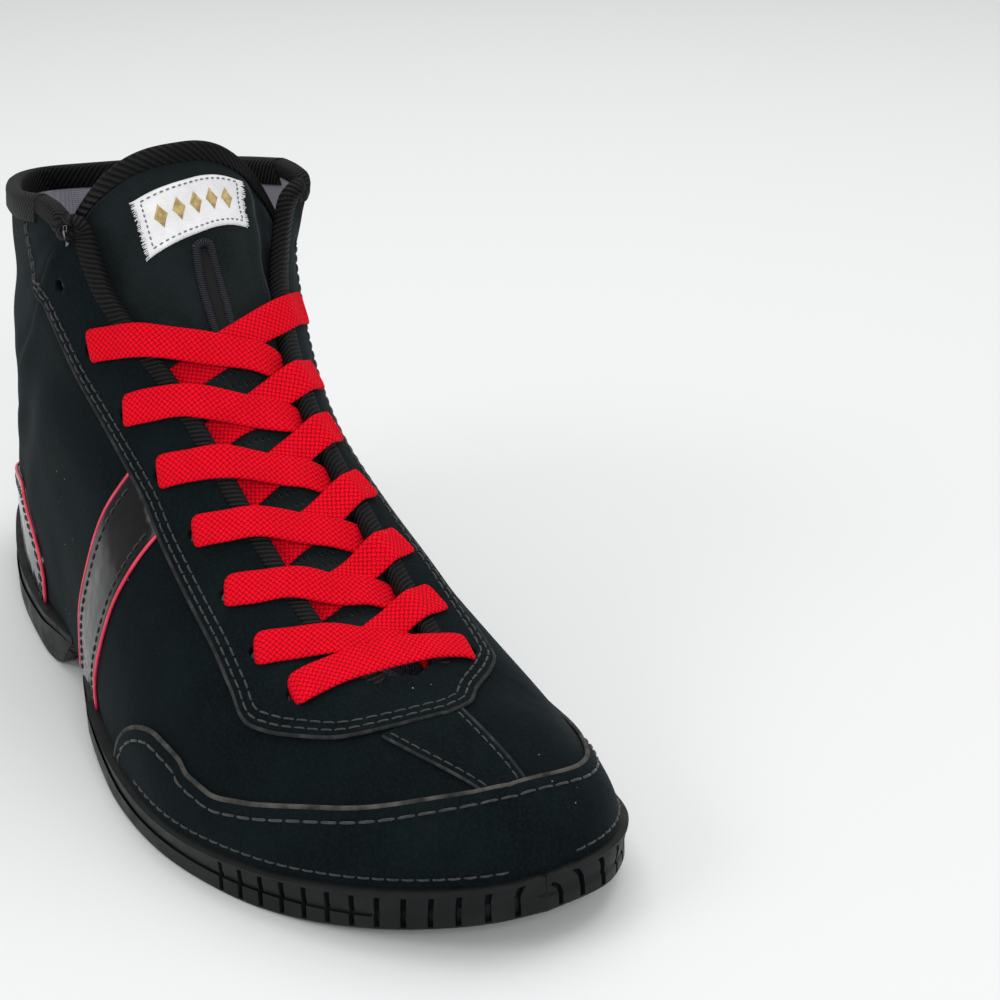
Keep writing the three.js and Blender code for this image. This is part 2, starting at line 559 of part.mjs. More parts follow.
// Label on the tongue, on the tongue's own lines
const LABEL = { rows: [7.6, 8, 8.7], lines: 3, thick: 0.6 };
function tongueLabel() {
  const across = Array.from({ length: 2 * LABEL.lines + 1 }, (_, j) => 2 * (j - LABEL.lines) / TONGUE_ACROSS);
  const face = (rise) => LABEL.rows.flatMap((row) => across.map((w) => tonguePoint(row, w, TONGUE / 2 + rise)));
  const n = across.length;
  const triangles = LABEL.rows.slice(1).flatMap((_, i) => across.slice(1).flatMap((__, j) => {
    const a = i * n + j;
    return [[a, a + 1, a + n + 1], [a, a + n + 1, a + n]];
  }));
  return thicken(face(GAP), face(GAP + LABEL.thick), triangles);
}

// Laces: flat ribbons through stations {p, n}, a point and the direction the ribbon faces
const LACE_LIFT = GAP + OVERLAY + 0.8 + LACE_THICK / 2;
const LACE_STEPS = 10;
function ribbon(stations) {
  const curve = new THREE.CatmullRomCurve3(stations.map((s) => s.p), false, 'centripetal');
  const points = [];
  for (let i = 0; i <= LACE_STEPS; i += 1) {
    const u = i / LACE_STEPS;
    const at = u * (stations.length - 1);
    const k = Math.min(Math.floor(at), stations.length - 2);
    const along = curve.getTangent(u);
    const across = stations[k].n.clone().lerp(stations[k + 1].n, at - k).cross(along).normalize();
    const up = along.clone().cross(across);
    for (const [a, b] of [[-1, -1], [1, -1], [1, 1], [-1, 1]]) {
      points.push(curve.getPoint(u).addScaledVector(across, a * LACE_WIDTH / 2).addScaledVector(up, b * LACE_THICK / 2));
    }
  }
  const triangles = [[0, 2, 1], [0, 3, 2]];
  for (let i = 0; i < LACE_STEPS; i += 1) {
    for (let j = 0; j < 4; j += 1) {
      const [a, b] = [4 * i + j, 4 * i + (j + 1) % 4];
      triangles.push([a, b, b + 4], [a, b + 4, a + 4]);
    }
  }
  const end = 4 * LACE_STEPS;
  triangles.push([end, end + 1, end + 2], [end, end + 2, end + 3]);
  return toSolid(points, triangles);
}
const onUpper = (t, v, side, lift = LACE_LIFT) => ({ p: offsetPoint(t, v, side, lift), n: outward(t, v, side) });
const tongueRow = (t) => lookup(TONGUE_ROWS.map((r, i) => [r[0], i]), t);
const onTongue = (t, w, lift) => ({ p: tonguePoint(tongueRow(t), w, lift), n: tongueOutward(tongueRow(t), w) });
const holeOn = (k, side) => (side < 0 ? [HOLES[k].t, HOLES[k].v] : [HOLES[k].tm, HOLES[k].vm]);

const laceBar = () => ribbon([
  onUpper(...holeOn(0, LATERAL), LATERAL), onUpper(5.45, 0.85, LATERAL), onUpper(5.4, RIDGE, MEDIAL),
  onUpper(5.35, 0.9, MEDIAL), onUpper(...holeOn(0, MEDIAL), MEDIAL),
]);

const STRAND = { startW: 0.33, widen: 0.035, startShare: 0.22, edgeShare: 0.8, lower: 0.5, upper: 1.4, clear: 0.9, lift: 0.5 };
// From beside the opposite flap near pair k, over the tongue and this side's flap, to this side's hole of pair k + 1
function strand(k, side) {
  const [t0] = holeOn(k, -side);
  const [t1, v1] = holeOn(k + 1, side);
  const share = (f) => t0 + (t1 - t0) * f;
  const level = side < 0 ? STRAND.upper : STRAND.lower;
  const edge = share(STRAND.edgeShare);
  const above = TONGUE / 2 + GAP + STRAND.clear;
  return ribbon([
    onTongue(share(STRAND.startShare), -side * (STRAND.startW + STRAND.widen * k), above + LACE_THICK * STRAND.lower),
    onTongue(share(0.5), 0, above + LACE_THICK * level),
    onUpper(edge, throatEdge(edge), side, LACE_LIFT + STRAND.lift),
    onUpper((edge + t1) / 2, (throatEdge(edge) + v1) / 2, side),
    onUpper(t1, v1, side),
  ]);
}
const laceCross = (k) => strand(k, LATERAL).add(strand(k, MEDIAL));

const group = new THREE.Group();
function add(name, solid, color, roughness, metalness = 0) {
  const mesh = new THREE.Mesh(fromSolid(solid), new THREE.MeshStandardMaterial({ color, roughness, metalness }));
  mesh.name = name;
  group.add(mesh);
}
const SUEDE = [0x16191e, 0.92];
const PATENT = [0x0b0b0d, 0.15];
const RUBBER = [0x232326, 0.6];
const LACE = [0x8e1420, 0.85];
add('upper', upper(), ...SUEDE);
add('forefoot_outsole', forefootOutsole(), ...RUBBER);
add('heel_outsole', heelOutsole(), ...RUBBER);
add('insole', insole(), 0x8a8892, 0.95);
add('tongue', tongue(), ...SUEDE);
add('toe_guard', toeGuard(), ...SUEDE);
add('throat_bib', throatBib(), ...SUEDE);
add('eyestay_lateral', eyestay(LATERAL), ...SUEDE);
add('eyestay_medial', eyestay(MEDIAL), ...SUEDE);
add('vamp_strip', vampStrip(), ...SUEDE);
add('heel_counter', heelCounter(), ...PATENT);
add('saddle_band_lateral', saddleBand(LATERAL), ...PATENT);
add('saddle_band_medial', saddleBand(MEDIAL), ...PATENT);
add('tongue_label', tongueLabel(), 0xd8d6dc, 0.4);
add('lace_bar', laceBar(), ...LACE);
for (let k = 0; k + 2 < HOLES.length; k += 1) add(`lace_cross_${k + 1}`, laceCross(k), ...LACE);

// Origin at the middle of the footprint, on the ground
const box = new THREE.Box3().setFromObject(group);
group.position.set(-(box.min.x + box.max.x) / 2, -(box.min.y + box.max.y) / 2, -box.min.z);
group.updateMatrixWorld(true);

export default group;
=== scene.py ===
"""Right wrestling shoe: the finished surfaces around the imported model.

Lengths are in millimetres with the heel's back near x = 0, as in the part's source, and turned into
metres in the part's frame when a mesh is made. A place on the last is a section number t, from 0 at the
toe to 21 at the collar, and v: -1 on the centre line, 0 at the feather edge, 1 on the ridge.
"""
import json
import math

import bmesh
import bpy
import numpy as np
from mathutils import Matrix, Vector
from mathutils.kdtree import KDTree

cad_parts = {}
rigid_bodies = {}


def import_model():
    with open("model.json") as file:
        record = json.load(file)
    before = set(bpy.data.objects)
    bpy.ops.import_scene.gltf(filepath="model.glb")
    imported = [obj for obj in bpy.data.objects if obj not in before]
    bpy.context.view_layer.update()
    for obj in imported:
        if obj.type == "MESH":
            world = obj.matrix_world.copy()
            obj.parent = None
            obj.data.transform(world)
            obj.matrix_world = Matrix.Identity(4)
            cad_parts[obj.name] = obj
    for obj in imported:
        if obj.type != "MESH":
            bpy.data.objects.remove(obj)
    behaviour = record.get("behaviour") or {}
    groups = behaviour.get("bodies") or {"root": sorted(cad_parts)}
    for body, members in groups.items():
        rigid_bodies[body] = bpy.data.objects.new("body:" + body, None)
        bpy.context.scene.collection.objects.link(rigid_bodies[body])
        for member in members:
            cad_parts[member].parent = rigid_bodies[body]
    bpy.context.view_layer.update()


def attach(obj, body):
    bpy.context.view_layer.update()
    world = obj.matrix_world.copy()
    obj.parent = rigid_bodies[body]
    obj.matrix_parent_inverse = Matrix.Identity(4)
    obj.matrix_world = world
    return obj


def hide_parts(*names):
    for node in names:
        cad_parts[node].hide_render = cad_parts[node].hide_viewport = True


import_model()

LATERAL, MEDIAL = -1, 1
SIDES = (LATERAL, MEDIAL)
NAMED_SIDES = ((LATERAL, "lateral"), (MEDIAL, "medial"))
CENTRE_LINE, RIDGE = -1.0, 1.0

# Driving dimensions, repeated from the part's source
WALL = 2.0
GAP = 0.3
RIM = 2.2
LEDGE = 3.0
INSOLE = 3.0
TONGUE = 3.0
LACE_WIDTH = 8.4
LACE_THICK = 1.3
LASTING_MARGIN = -0.16
SHIFT = np.array([-135.737, -1.934, 0.0])   # from the heel's back to the middle of the footprint

# Sections of the last: B on the sole or the heel's back, F on the ridge, half widths L and M, bulge's height
COLUMNS = "bx bz fx fz ridge footL footM sideL sideM crownL crownM rise".split()
SECTIONS = np.array([
    [270.0, 12.5, 270.0, 12.6, 14.0, -13.9, 14.1, -13.9, 14.1, 0.1, 0.1, 0.40],
    [267.5, 11.3, 269.0, 22.0, 14.0, -4.0, 27.5, -3.0, 29.0, 8.0, 8.0, 0.42],
    [262.0, 9.5, 264.5, 28.0, 13.5, 5.0, 35.0, 6.0, 38.5, 14.0, 16.0, 0.42],
    [252.0, 7.5, 255.0, 33.5, 12.5, 15.5, 42.0, 17.5, 46.0, 21.0, 23.0, 0.42],
    [237.0, 6.0, 241.0, 38.0, 11.0, 26.5, 45.5, 29.5, 49.5, 27.0, 28.0, 0.44],
    [218.0, 5.0, 223.0, 42.5, 9.5, 36.0, 47.0, 40.5, 51.5, 30.0, 30.0, 0.46],
    [197.0, 5.0, 204.0, 49.5, 8.0, 42.0, 45.5, 47.0, 50.5, 31.0, 31.0, 0.48],
    [175.0, 5.5, 187.0, 59.0, 7.0, 43.5, 39.5, 47.5, 48.0, 32.0, 31.0, 0.48],
    [152.0, 8.0, 170.0, 70.5, 6.0, 41.5, 31.5, 46.0, 43.0, 33.0, 30.0, 0.46],
    [128.0, 11.0, 153.5, 84.0, 5.0, 37.5, 25.0, 42.0, 38.0, 36.0, 30.0, 0.42],
    [102.0, 11.5, 138.0, 99.0, 4.0, 34.0, 24.0, 38.0, 36.5, 40.0, 35.0, 0.36],
    [77.0, 9.5, 128.0, 114.0, 4.0, 32.5, 26.5, 35.0, 35.5, 45.0, 41.0, 0.30],
    [52.0, 8.0, 125.0, 128.5, 4.0, 29.5, 28.0, 31.5, 34.5, 49.0, 48.0, 0.24],
    [30.0, 8.0, 128.0, 140.5, 4.0, 24.0, 26.0, 27.5, 32.5, 53.0, 54.0, 0.18],
    [12.0, 8.6, 136.0, 149.5, 4.0, 16.5, 19.5, 26.0, 31.0, 56.0, 59.0, 0.10],
    [3.5, 13.0, 143.0, 154.0, 4.0, 8.0, 10.0, 26.0, 31.0, 55.0, 60.0, 0.04],
    [0.8, 25.0, 147.0, 154.5, 4.0, 1.5, 3.0, 26.0, 29.5, 56.0, 62.0, 0.00],
    [1.5, 44.0, 149.0, 152.5, 4.0, -0.3, 1.0, 25.0, 28.0, 56.0, 63.0, 0.00],
    [4.5, 63.0, 150.0, 149.5, 4.0, -0.3, 1.0, 24.0, 27.0, 57.0, 64.0, 0.00],
    [7.0, 81.0, 150.0, 146.5, 4.0, -0.3, 1.0, 22.5, 25.0, 57.5, 65.0, 0.00],
    [7.5, 98.0, 150.0, 143.0, 4.0, -0.3, 1.0, 20.5, 23.0, 58.0, 65.5, 0.00],
    [6.5, 113.0, 149.5, 139.5, 4.0, -0.3, 1.0, 19.0, 21.5, 59.0, 65.5, 0.00],
])
LAST_ROW = len(SECTIONS) - 1
TOE_TURN = 0.65
HEEL_TURN = 14.3


def curve(pairs, x):
    """Smooth look-up in a table of pairs that never overshoots its values."""
    px, py = np.array(pairs, float).T
    h = np.diff(px)
    slope = np.diff(py) / h
    d = np.zeros(len(px))
    same = slope[:-1] * slope[1:] > 0
    w1, w2 = 2 * h[1:] + h[:-1], h[1:] + 2 * h[:-1]
    with np.errstate(divide="ignore", invalid="ignore"):
        mean = (w1 + w2) / (w1 / slope[:-1] + w2 / slope[1:])
    d[1:-1] = np.where(same, mean, 0)
    d[0], d[-1] = slope[0], slope[-1]
    x = np.clip(np.asarray(x, float), px[0], px[-1])
    i = np.clip(np.searchsorted(px, x) - 1, 0, len(px) - 2)
    u = (x - px[i]) / h[i]
    return ((1 + 2 * u) * (1 - u) ** 2 * py[i] + u * (1 - u) ** 2 * h[i] * d[i]
            + u * u * (3 - 2 * u) * py[i + 1] + u * u * (u - 1) * h[i] * d[i + 1])


def section(t):
    """Catmull-Rom between the rows of the section table, as a dictionary of arrays."""
    u = np.clip(np.asarray(t, float), 0, LAST_ROW - 1e-9)
    i = np.floor(u).astype(int)
    f = (u - i)[..., None]
    a, b, c, d = (SECTIONS[np.clip(i + k, 0, LAST_ROW)] for k in (-1, 0, 1, 2))
    rows = 0.5 * (2 * b + (c - a) * f + (2 * a - 5 * b + 4 * c - d) * f ** 2
                  + (3 * b - a - 3 * c + d) * f ** 3)
    return {name: rows[..., j] for j, name in enumerate(COLUMNS)}


def last_point(t, v, side):
    """Point on the last; side may be an array of -1 and 1."""
    t, v, side = np.broadcast_arrays(np.asarray(t, float), np.asarray(v, float), side)
    r = section(t)
    lateral = side < 0
    foot = np.where(lateral, -r["footL"], r["footM"])
    bulge = np.where(lateral, -r["sideL"], r["sideM"])
    crown = r["ridge"] + np.where(lateral, -r["crownL"], r["crownM"])
    middle = (r["footM"] - r["footL"]) / 2
    w = 1 - v
    b0, b1, b2, b3 = w ** 3, 3 * v * w * w, 3 * v * v * w, v ** 3
    y = b0 * foot + b1 * bulge + b2 * crown + b3 * r["ridge"]
    s = b1 * r["rise"] + b2 + b3
    under = v < 0
    y = np.where(under, foot * (1 + v) - middle * v, y)
    s = np.where(under, 0, s)
    return np.stack([r["bx"] + s * (r["fx"] - r["bx"]), y, r["bz"] + s * (r["fz"] - r["bz"])], -1)


def unit(a):
    return a / np.maximum(np.linalg.norm(a, axis=-1, keepdims=True), 1e-9)


def walked(points):
    """Length walked along a line up to each of its points."""
    return np.concatenate([[0], np.cumsum(np.linalg.norm(np.diff(points, axis=0), axis=-1))])


def facing(t, v, side):
    """Outward normal of the last."""
    dt, dv = 0.02, 0.01
    tm = np.maximum(t, 0.01)
    t0, t1 = np.maximum(t - dt, 0.01), np.minimum(tm + dt, LAST_ROW)
    v0, v1 = np.maximum(v - dv, CENTRE_LINE), np.minimum(v + dv, RIDGE)
    along_t = last_point(t1, v, side) - last_point(t0, v, side)
    along_v = last_point(tm, v1, side) - last_point(tm, v0, side)
    return unit(np.cross(along_t, along_v) * np.asarray(side, float)[..., None])


FEATHER_BLEND = 0.02


def outward(t, v, side):
    """Outward direction, lengthened at the feather edge so that an offset keeps its thickness there."""
    t, v, side = (np.array(a, float) for a in np.broadcast_arrays(t, v, side))
    n = facing(t, v, side)
    seam = (v <= CENTRE_LINE + 1e-6) | (v >= RIDGE - 1e-6)
    if seam.any():
        n[seam] = unit(n[seam] + facing(t[seam], v[seam], -side[seam]))
    edge = np.abs(v) < FEATHER_BLEND
    if edge.any():
        under = facing(t[edge], np.full(edge.sum(), -FEATHER_BLEND), side[edge])
        over = facing(t[edge], np.full(edge.sum(), FEATHER_BLEND), side[edge])
        mean = unit(under + over)
        n[edge] = mean / np.maximum((mean * under).sum(-1, keepdims=True), 0.72)
    n[t <= 0] = [1, 0, 0]
    return n


def offset_point(t, v, side, distance):
    distance = np.asarray(distance, float)[..., None]
    return last_point(t, v, side) + outward(t, v, side) * distance


# Seams and edges as v by section t
THROAT = [(5.05, 1.0), (5.1, 0.955), (5.3, 0.915), (5.8, 0.885), (7.5, 0.865), (9.4, 0.85), (10.6, 0.81),
          (11.5, 0.78), (12.8, 0.765), (14, 0.735), (15, 0.71), (16, 0.695), (17, 0.683), (18, 0.67),
          (19.3, 0.655), (20.3, 0.632), (21, 0.60)]
HOLES = {
    LATERAL: [(5.5, 0.70), (6.25, 0.69), (7.15, 0.70), (8.05, 0.70), (8.95, 0.69), (9.85, 0.69),
              (11.0, 0.685), (12.7, 0.67)],
    MEDIAL: [(5.3, 0.79), (6.2, 0.77), (7.15, 0.76), (8.05, 0.76), (8.88, 0.76), (9.64, 0.745),
             (10.95, 0.69), (12.7, 0.67)],
}
GUARD_TOP = {
    LATERAL: [(2.67, 1), (2.78, 0.88), (3.0, 0.76), (3.62, 0.56), (4.35, 0.43), (5.03, 0.33), (5.44, 0.29),
              (5.8, 0.29), (6.06, 0.31), (6.54, 0.3), (6.96, 0.25), (7.3, 0.15), (7.5, 0.0)],
    MEDIAL: [(2.67, 1), (2.72, 0.84), (2.9, 0.69), (3.3, 0.56), (3.9, 0.46), (4.5, 0.38), (5.2, 0.32),
             (6.0, 0.3), (6.6, 0.32), (7.1, 0.33), (7.7, 0.25), (8.2, 0.12), (8.5, 0.0)],
}
BIB_EDGE = {
    LATERAL: [(4.3, 1), (4.36, 0.9), (4.5, 0.79), (4.67, 0.71), (5.02, 0.63), (5.3, 0.58), (5.62, 0.55),
              (6.08, 0.58), (6.8, 0.62)],
    MEDIAL: [(4.3, 1), (4.38, 0.93), (4.63, 0.87), (5.0, 0.76), (5.33, 0.69), (6.0, 0.665), (6.8, 0.66)],
}
EYESTAY_SEAM = {
    LATERAL: [(6.2, 0.59), (6.8, 0.6), (8.3, 0.61), (8.9, 0.62), (11.5, 0.62), (13.2, 0.61), (15, 0.59),
              (17.8, 0.56), (21, 0.54)],
    MEDIAL: [(6.2, 0.63), (6.8, 0.64), (9.0, 0.66), (10.5, 0.64), (11.8, 0.625), (13.2, 0.61), (15, 0.59),
             (17.8, 0.56), (21, 0.54)],
}
COUNTER_TOP = [(10.9, 0.0), (11.0, 0.1), (11.3, 0.17), (12.0, 0.225), (12.8, 0.25), (13.6, 0.25),
               (14.6, 0.235), (15.4, 0.2), (16.2, 0.13), (16.8, 0.04), (17.0, -1)]
STRIP = {LATERAL: [(2.7, 0.9), (4.4, 0.8)], MEDIAL: [(2.7, 0.93), (4.4, 0.96)]}
BAND = {LATERAL: (8.4, 9.3), MEDIAL: (9.3, 10.2)}

OVERLAY_TOP = 1.1            # top face of a suede overlay above the quarter
EYESTAY_TOP = 0.9
SUEDE_BASE = -1.0            # between the suede and its lining


def throat_edge(t):
    return np.where(np.asarray(t) < THROAT[0][0], 1.0, curve(THROAT, t))


# Polylines on the last
def trace(pairs, side, count=80):
    """(t, v, side) arrays along a smooth line through (t, v) pairs."""
    pairs = np.array(pairs, float)
    s = walked(last_point(*pairs.T, side))
    u = np.linspace(0, s[-1], count)
    t = curve(np.stack([s, pairs[:, 0]], -1), u)
    v = curve(np.stack([s, pairs[:, 1]], -1), u)
    return t, v, np.full(count, side)


def edge_line(table, t0, t1, side, count=80):
    """(t, v, side) arrays along an edge table between two sections."""
    t = np.linspace(t0, t1, count)
    return t, curve(table, t), np.full(count, side)


def over_ridge(lateral, medial):
    """Joins a lateral and a medial line that both start on the ridge."""
    return tuple(np.concatenate([a[::-1], b[1:]]) for a, b in zip(lateral, medial))


INSET_ROUNDS, INSET_DAMPING = 6, 3.0


def inset(line, distance):
    """The line moved sideways along the surface; positive is to the left of its run, seen from outside."""
    t, v, side = line
    p = last_point(t, v, side)
    along = unit(np.gradient(p, axis=0))
    target = p + np.cross(unit(outward(t, v, side)), along) * distance
    e = 0.01
    for _ in range(INSET_ROUNDS):
        t0, t1 = np.clip(t - e, 0, LAST_ROW - 2 * e), np.clip(t + e, 2 * e, LAST_ROW)
        jt = (last_point(t1, v, side) - last_point(t0, v, side)) / (t1 - t0)[..., None]
        jv = (last_point(t, v + e, side) - last_point(t, v - e, side)) / (2 * e)
        rest = target - last_point(t, v, side)
        a, b, c = (jt * jt).sum(-1) + INSET_DAMPING, (jt * jv).sum(-1), (jv * jv).sum(-1)
        d, f = (jt * rest).sum(-1), (jv * rest).sum(-1)
        det = a * c - b * b
        t = np.clip(t + (c * d - b * f) / det, 0, LAST_ROW)
        v = np.clip(v + (a * f - b * d) / det, CENTRE_LINE, RIDGE)
    return t, v, side


# Creases in the suede: from and to as (t, v), width and depth in mm, a trough when positive
CREASES = [
    (LATERAL, (17.4, 0.03), (16.2, 0.30), 7.0, 1.1),
    (LATERAL, (18.3, 0.02), (17.4, 0.26), 6.0, -0.9),
    (LATERAL, (15.6, 0.10), (14.6, 0.36), 6.5, 0.9),
    (LATERAL, (19.6, 0.10), (18.6, 0.44), 8.0, 0.8),
    (LATERAL, (13.4, 0.30), (12.2, 0.55), 6.0, 0.8),
    (LATERAL, (12.3, 0.22), (11.4, 0.50), 6.0, -0.5),
    (LATERAL, (16.8, 0.34), (15.2, 0.50), 7.0, -0.6),
    (LATERAL, (4.9, 0.50), (4.2, 0.62), 5.0, 0.5),
    (LATERAL, (5.6, 0.46), (5.1, 0.55), 4.0, 0.35),
    (LATERAL, (8.0, 0.30), (7.2, 0.52), 6.0, 0.5),
    (MEDIAL, (17.2, 0.03), (16.0, 0.30), 7.0, 1.1),
    (MEDIAL, (18.4, 0.02), (17.2, 0.28), 6.5, -0.8),
    (MEDIAL, (15.2, 0.12), (14.0, 0.36), 6.0, 0.9),
    (MEDIAL, (19.4, 0.12), (18.4, 0.42), 8.0, 0.7),
    (MEDIAL, (13.2, 0.30), (12.0, 0.52), 6.0, 0.7),
    (MEDIAL, (4.9, 0.62), (4.3, 0.78), 5.0, 0.45),
    (MEDIAL, (7.4, 0.38), (6.6, 0.56), 6.0, 0.5),
    (MEDIAL, (9.2, 0.30), (8.2, 0.50), 6.0, 0.4),
]
CREASE_LINES = []
for crease_side, start, end, crease_width, crease_depth in CREASES:
    line = trace([start, ((start[0] + end[0]) / 2, (start[1] + end[1]) / 2 + 0.01), end], crease_side, 14)
    CREASE_LINES.append((last_point(*line), crease_width, crease_depth))


def distance_to(points, line):
    """Distance of each point to a polyline, and how far along it the nearest place lies, from 0 to 1."""
    best = np.full(len(points), 1e9)
    where = np.zeros(len(points))
    for i, (a, b) in enumerate(zip(line[:-1], line[1:])):
        d = b - a
        u = np.clip(((points - a) @ d) / (d @ d), 0, 1)
        r = np.linalg.norm(points - a - u[:, None] * d, axis=-1)
        closer = r < best
        best[closer] = r[closer]
        where[closer] = (i + u[closer]) / (len(line) - 1)
    return best, where


def relief(points):
    """Height of the suede's creases and slack at points on the last."""
    flat = points.reshape(-1, 3)
    out = np.zeros(len(flat))
    for line, width, depth in CREASE_LINES:
        r, u = distance_to(flat, line)
        out -= depth * np.exp(-(r / width) ** 2) * np.clip(np.sin(np.pi * np.clip(u, 0.06, 0.94)) * 1.3, 0, 1)
    x, y, z = flat.T
    shaft = np.clip((z - 45) / 40, 0, 1)
    slack = 0.45 * np.sin(z / 7.5 + 0.06 * x + 1.1 * np.tanh(y / 15)) + 0.3 * np.sin(z / 4.1 + x / 16 + y / 9)
    out += shaft * slack
    out += (1 - shaft) * 0.12 * np.sin(x / 6.5 + z / 5.0)
    return out.reshape(points.shape[:-1])


def on_upper(t, v, side, height):
    """Point above or below the suede, with its creases."""
    p = last_point(t, v, side)
    return p + outward(t, v, side) * (relief(p) + height)[..., None]


# Meshes
def fix_normals(piece):
    """Turns every face of a closed mesh outward."""
    work = bmesh.new()
    work.from_mesh(piece.data)
    bmesh.ops.recalc_face_normals(work, faces=work.faces)
    if work.calc_volume(signed=True) < 0:
        bmesh.ops.reverse_faces(work, faces=work.faces)
    work.to_mesh(piece.data)
    work.free()


def make(name, points, faces, material, uv=None, smooth=40, recalc=True):
    """A piece from points in mm and faces; uv has one pair per corner, in the order of the faces."""
    mesh = bpy.data.meshes.new(name)
    mesh.from_pydata((np.asarray(points) + SHIFT) / 1000, [], [list(map(int, f)) for f in faces])
    if uv is not None:
        layer = mesh.uv_layers.new(name="UVMap")
        layer.data.foreach_set("uv", np.asarray(uv, np.float32).ravel())
    mesh.materials.append(material)
    piece = bpy.data.objects.new(name, mesh)
    if recalc:
        fix_normals(piece)
    mesh.shade_smooth()
    if smooth < 180:
        mesh.set_sharp_from_angle(angle=math.radians(smooth))
    bpy.context.scene.collection.objects.link(piece)
    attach(piece, "root")
    return piece


def grid_faces(rows, columns, close_columns=False, start=0):
    """Quads of a grid of rows by columns, numbered row by row."""
    i = np.arange(rows - 1)[:, None]
    j = np.arange(columns if close_columns else columns - 1)[None, :]
    k = (j + 1) % columns
    quads = np.stack([i * columns + j, i * columns + k, (i + 1) * columns + k, (i + 1) * columns + j], -1)
    return quads.reshape(-1, 4) + start


def ring_ends(rings, count):
    """Faces that close the first and the last ring of a swept tube."""
    last = (rings - 1) * count
    return [list(range(count))[::-1], list(range(last, last + count))]


def sheet_faces(rows, columns):
    """Faces of a closed sheet: its upper grid, its lower grid, and the border between them."""
    n = rows * columns
    top = grid_faces(rows, columns)
    edges = [(a, a + 1) for a in range(columns - 1)]
    edges += [(columns * (k + 1) - 1, columns * (k + 2) - 1) for k in range(rows - 1)]
    edges += [(n - 1 - a, n - 2 - a) for a in range(columns - 1)]
    edges += [(columns * (k + 1), columns * k) for k in reversed(range(rows - 1))]
    return top.tolist() + (top[:, ::-1] + n).tolist() + [[b, a, a + n, b + n] for a, b in edges]


def strip_uv(s, around):
    """UV in mm of the quads between rings: s has a length for each ring, around one more than a ring."""
    count = len(around) - 1
    i = np.repeat(np.arange(len(s) - 1), count)
    j = np.tile(np.arange(count), len(s) - 1)
    corners = [(s[i], around[j]), (s[i], around[j + 1]), (s[i + 1], around[j + 1]), (s[i + 1], around[j])]
    return np.stack([np.stack(corner, -1) for corner in corners], 1).reshape(-1, 2)


HOLE_CLEAR = 2.6             # how far the lining stays away from a hole's middle


def shell(name, sides, low, high, material, edge=0.6, holes=()):
    """Closed sheet on the last. sides is a list of (t, v, side) grids; low and high are heights in mm.
    Where two grids meet on the ridge or the centre line they are joined. The free edges are rounded."""
    params, quads = [], []
    for t, v, side in sides:
        start = sum(len(p) for p in params)
        faces = grid_faces(*t.shape, start=start)
        params.append(np.stack([t.ravel(), v.ravel(), np.full(t.size, float(side))], -1))
        quads.append(faces if side < 0 else faces[:, ::-1])
    params, quads = np.concatenate(params), np.concatenate(quads)
    base = last_point(*params.T)
    keys = np.round(base * 500).astype(np.int64)
    _, first, inverse = np.unique(keys, axis=0, return_index=True, return_inverse=True)
    params, base, quads = params[first], base[first], inverse.reshape(-1)[quads]
    faces = []
    for q in quads.tolist():
        ring = [a for a, b in zip(q, q[1:] + q[:1]) if a != b]
        if len(set(ring)) == len(ring) and len(ring) > 2:
            faces.append(ring)
    if len(holes):
        middles = np.array([base[f].mean(0) for f in faces])
        clear = np.linalg.norm(middles[:, None] - np.asarray(holes)[None], axis=-1).min(1) > HOLE_CLEAR
        faces = [f for f, keep in zip(faces, clear) if keep]
    edges = {(a, b) for f in faces for a, b in zip(f, f[1:] + f[:1])}
    rim = [(a, b) for a, b in edges if (b, a) not in edges]
    n = len(params)
    normal = outward(*params.T)
    bend = relief(base)
    top = np.full(n, float(high))
    if edge:
        on_rim = base[np.unique(np.array(rim).ravel())]
        tree = nearest(base, on_rim, edge)
        inside = np.clip(tree / edge, 0, 1)
        top -= (1 - np.sqrt(1 - (1 - inside) ** 2)) * min(edge, high - low) * 0.85
    points = np.concatenate([base + normal * (bend + low)[:, None], base + normal * (bend + top)[:, None]])
    all_faces = [f[::-1] for f in faces] + [[a + n for a in f] for f in faces]
    all_faces += [[a, b, b + n, a + n] for a, b in rim]
    return make(name, points, all_faces, material, smooth=60)


def nearest(points, targets, limit):
    """Distance from each point to the nearest target, no more than the limit."""
    tree = KDTree(len(targets))
    for i, p in enumerate(targets.tolist()):
        tree.insert(p, i)
    tree.balance()
    return np.array([min(tree.find(p)[2], limit) for p in points.tolist()])


def region(rows, low, high, side, columns, edge=0.5):
    """(t, v, side) grid between two tables or functions of t, with extra lines close to both edges."""
    rows = np.asarray(rows, float)
    v0, v1 = low(rows), high(rows)
    width = np.linalg.norm(last_point(rows, v1, side) - last_point(rows, v0, side), axis=-1)
    near = np.array([0, 0.2, 0.5, 1.0]) * edge
    steps = []
    for w in np.maximum(width, 1e-3):
        close = np.minimum(near / w, 0.2)
        middle = np.linspace(max(close[-1] * 1.8, 1e-3), 1 - max(close[-1] * 1.8, 1e-3), columns)
        steps.append(np.concatenate([close, middle, 1 - close[::-1]]))
    u = np.array(steps)
    t = np.repeat(rows[:, None], u.shape[1], 1)
    return t, v0[:, None] + u * (v1 - v0)[:, None], side


def rows_of(start, end, count, close=(0.01, 0.025, 0.05)):
    """Sections from start to end, with extra ones close to both ends."""
    near = np.array(close)
    return np.unique(np.concatenate([np.linspace(start, end, count), start + near, end - near]))


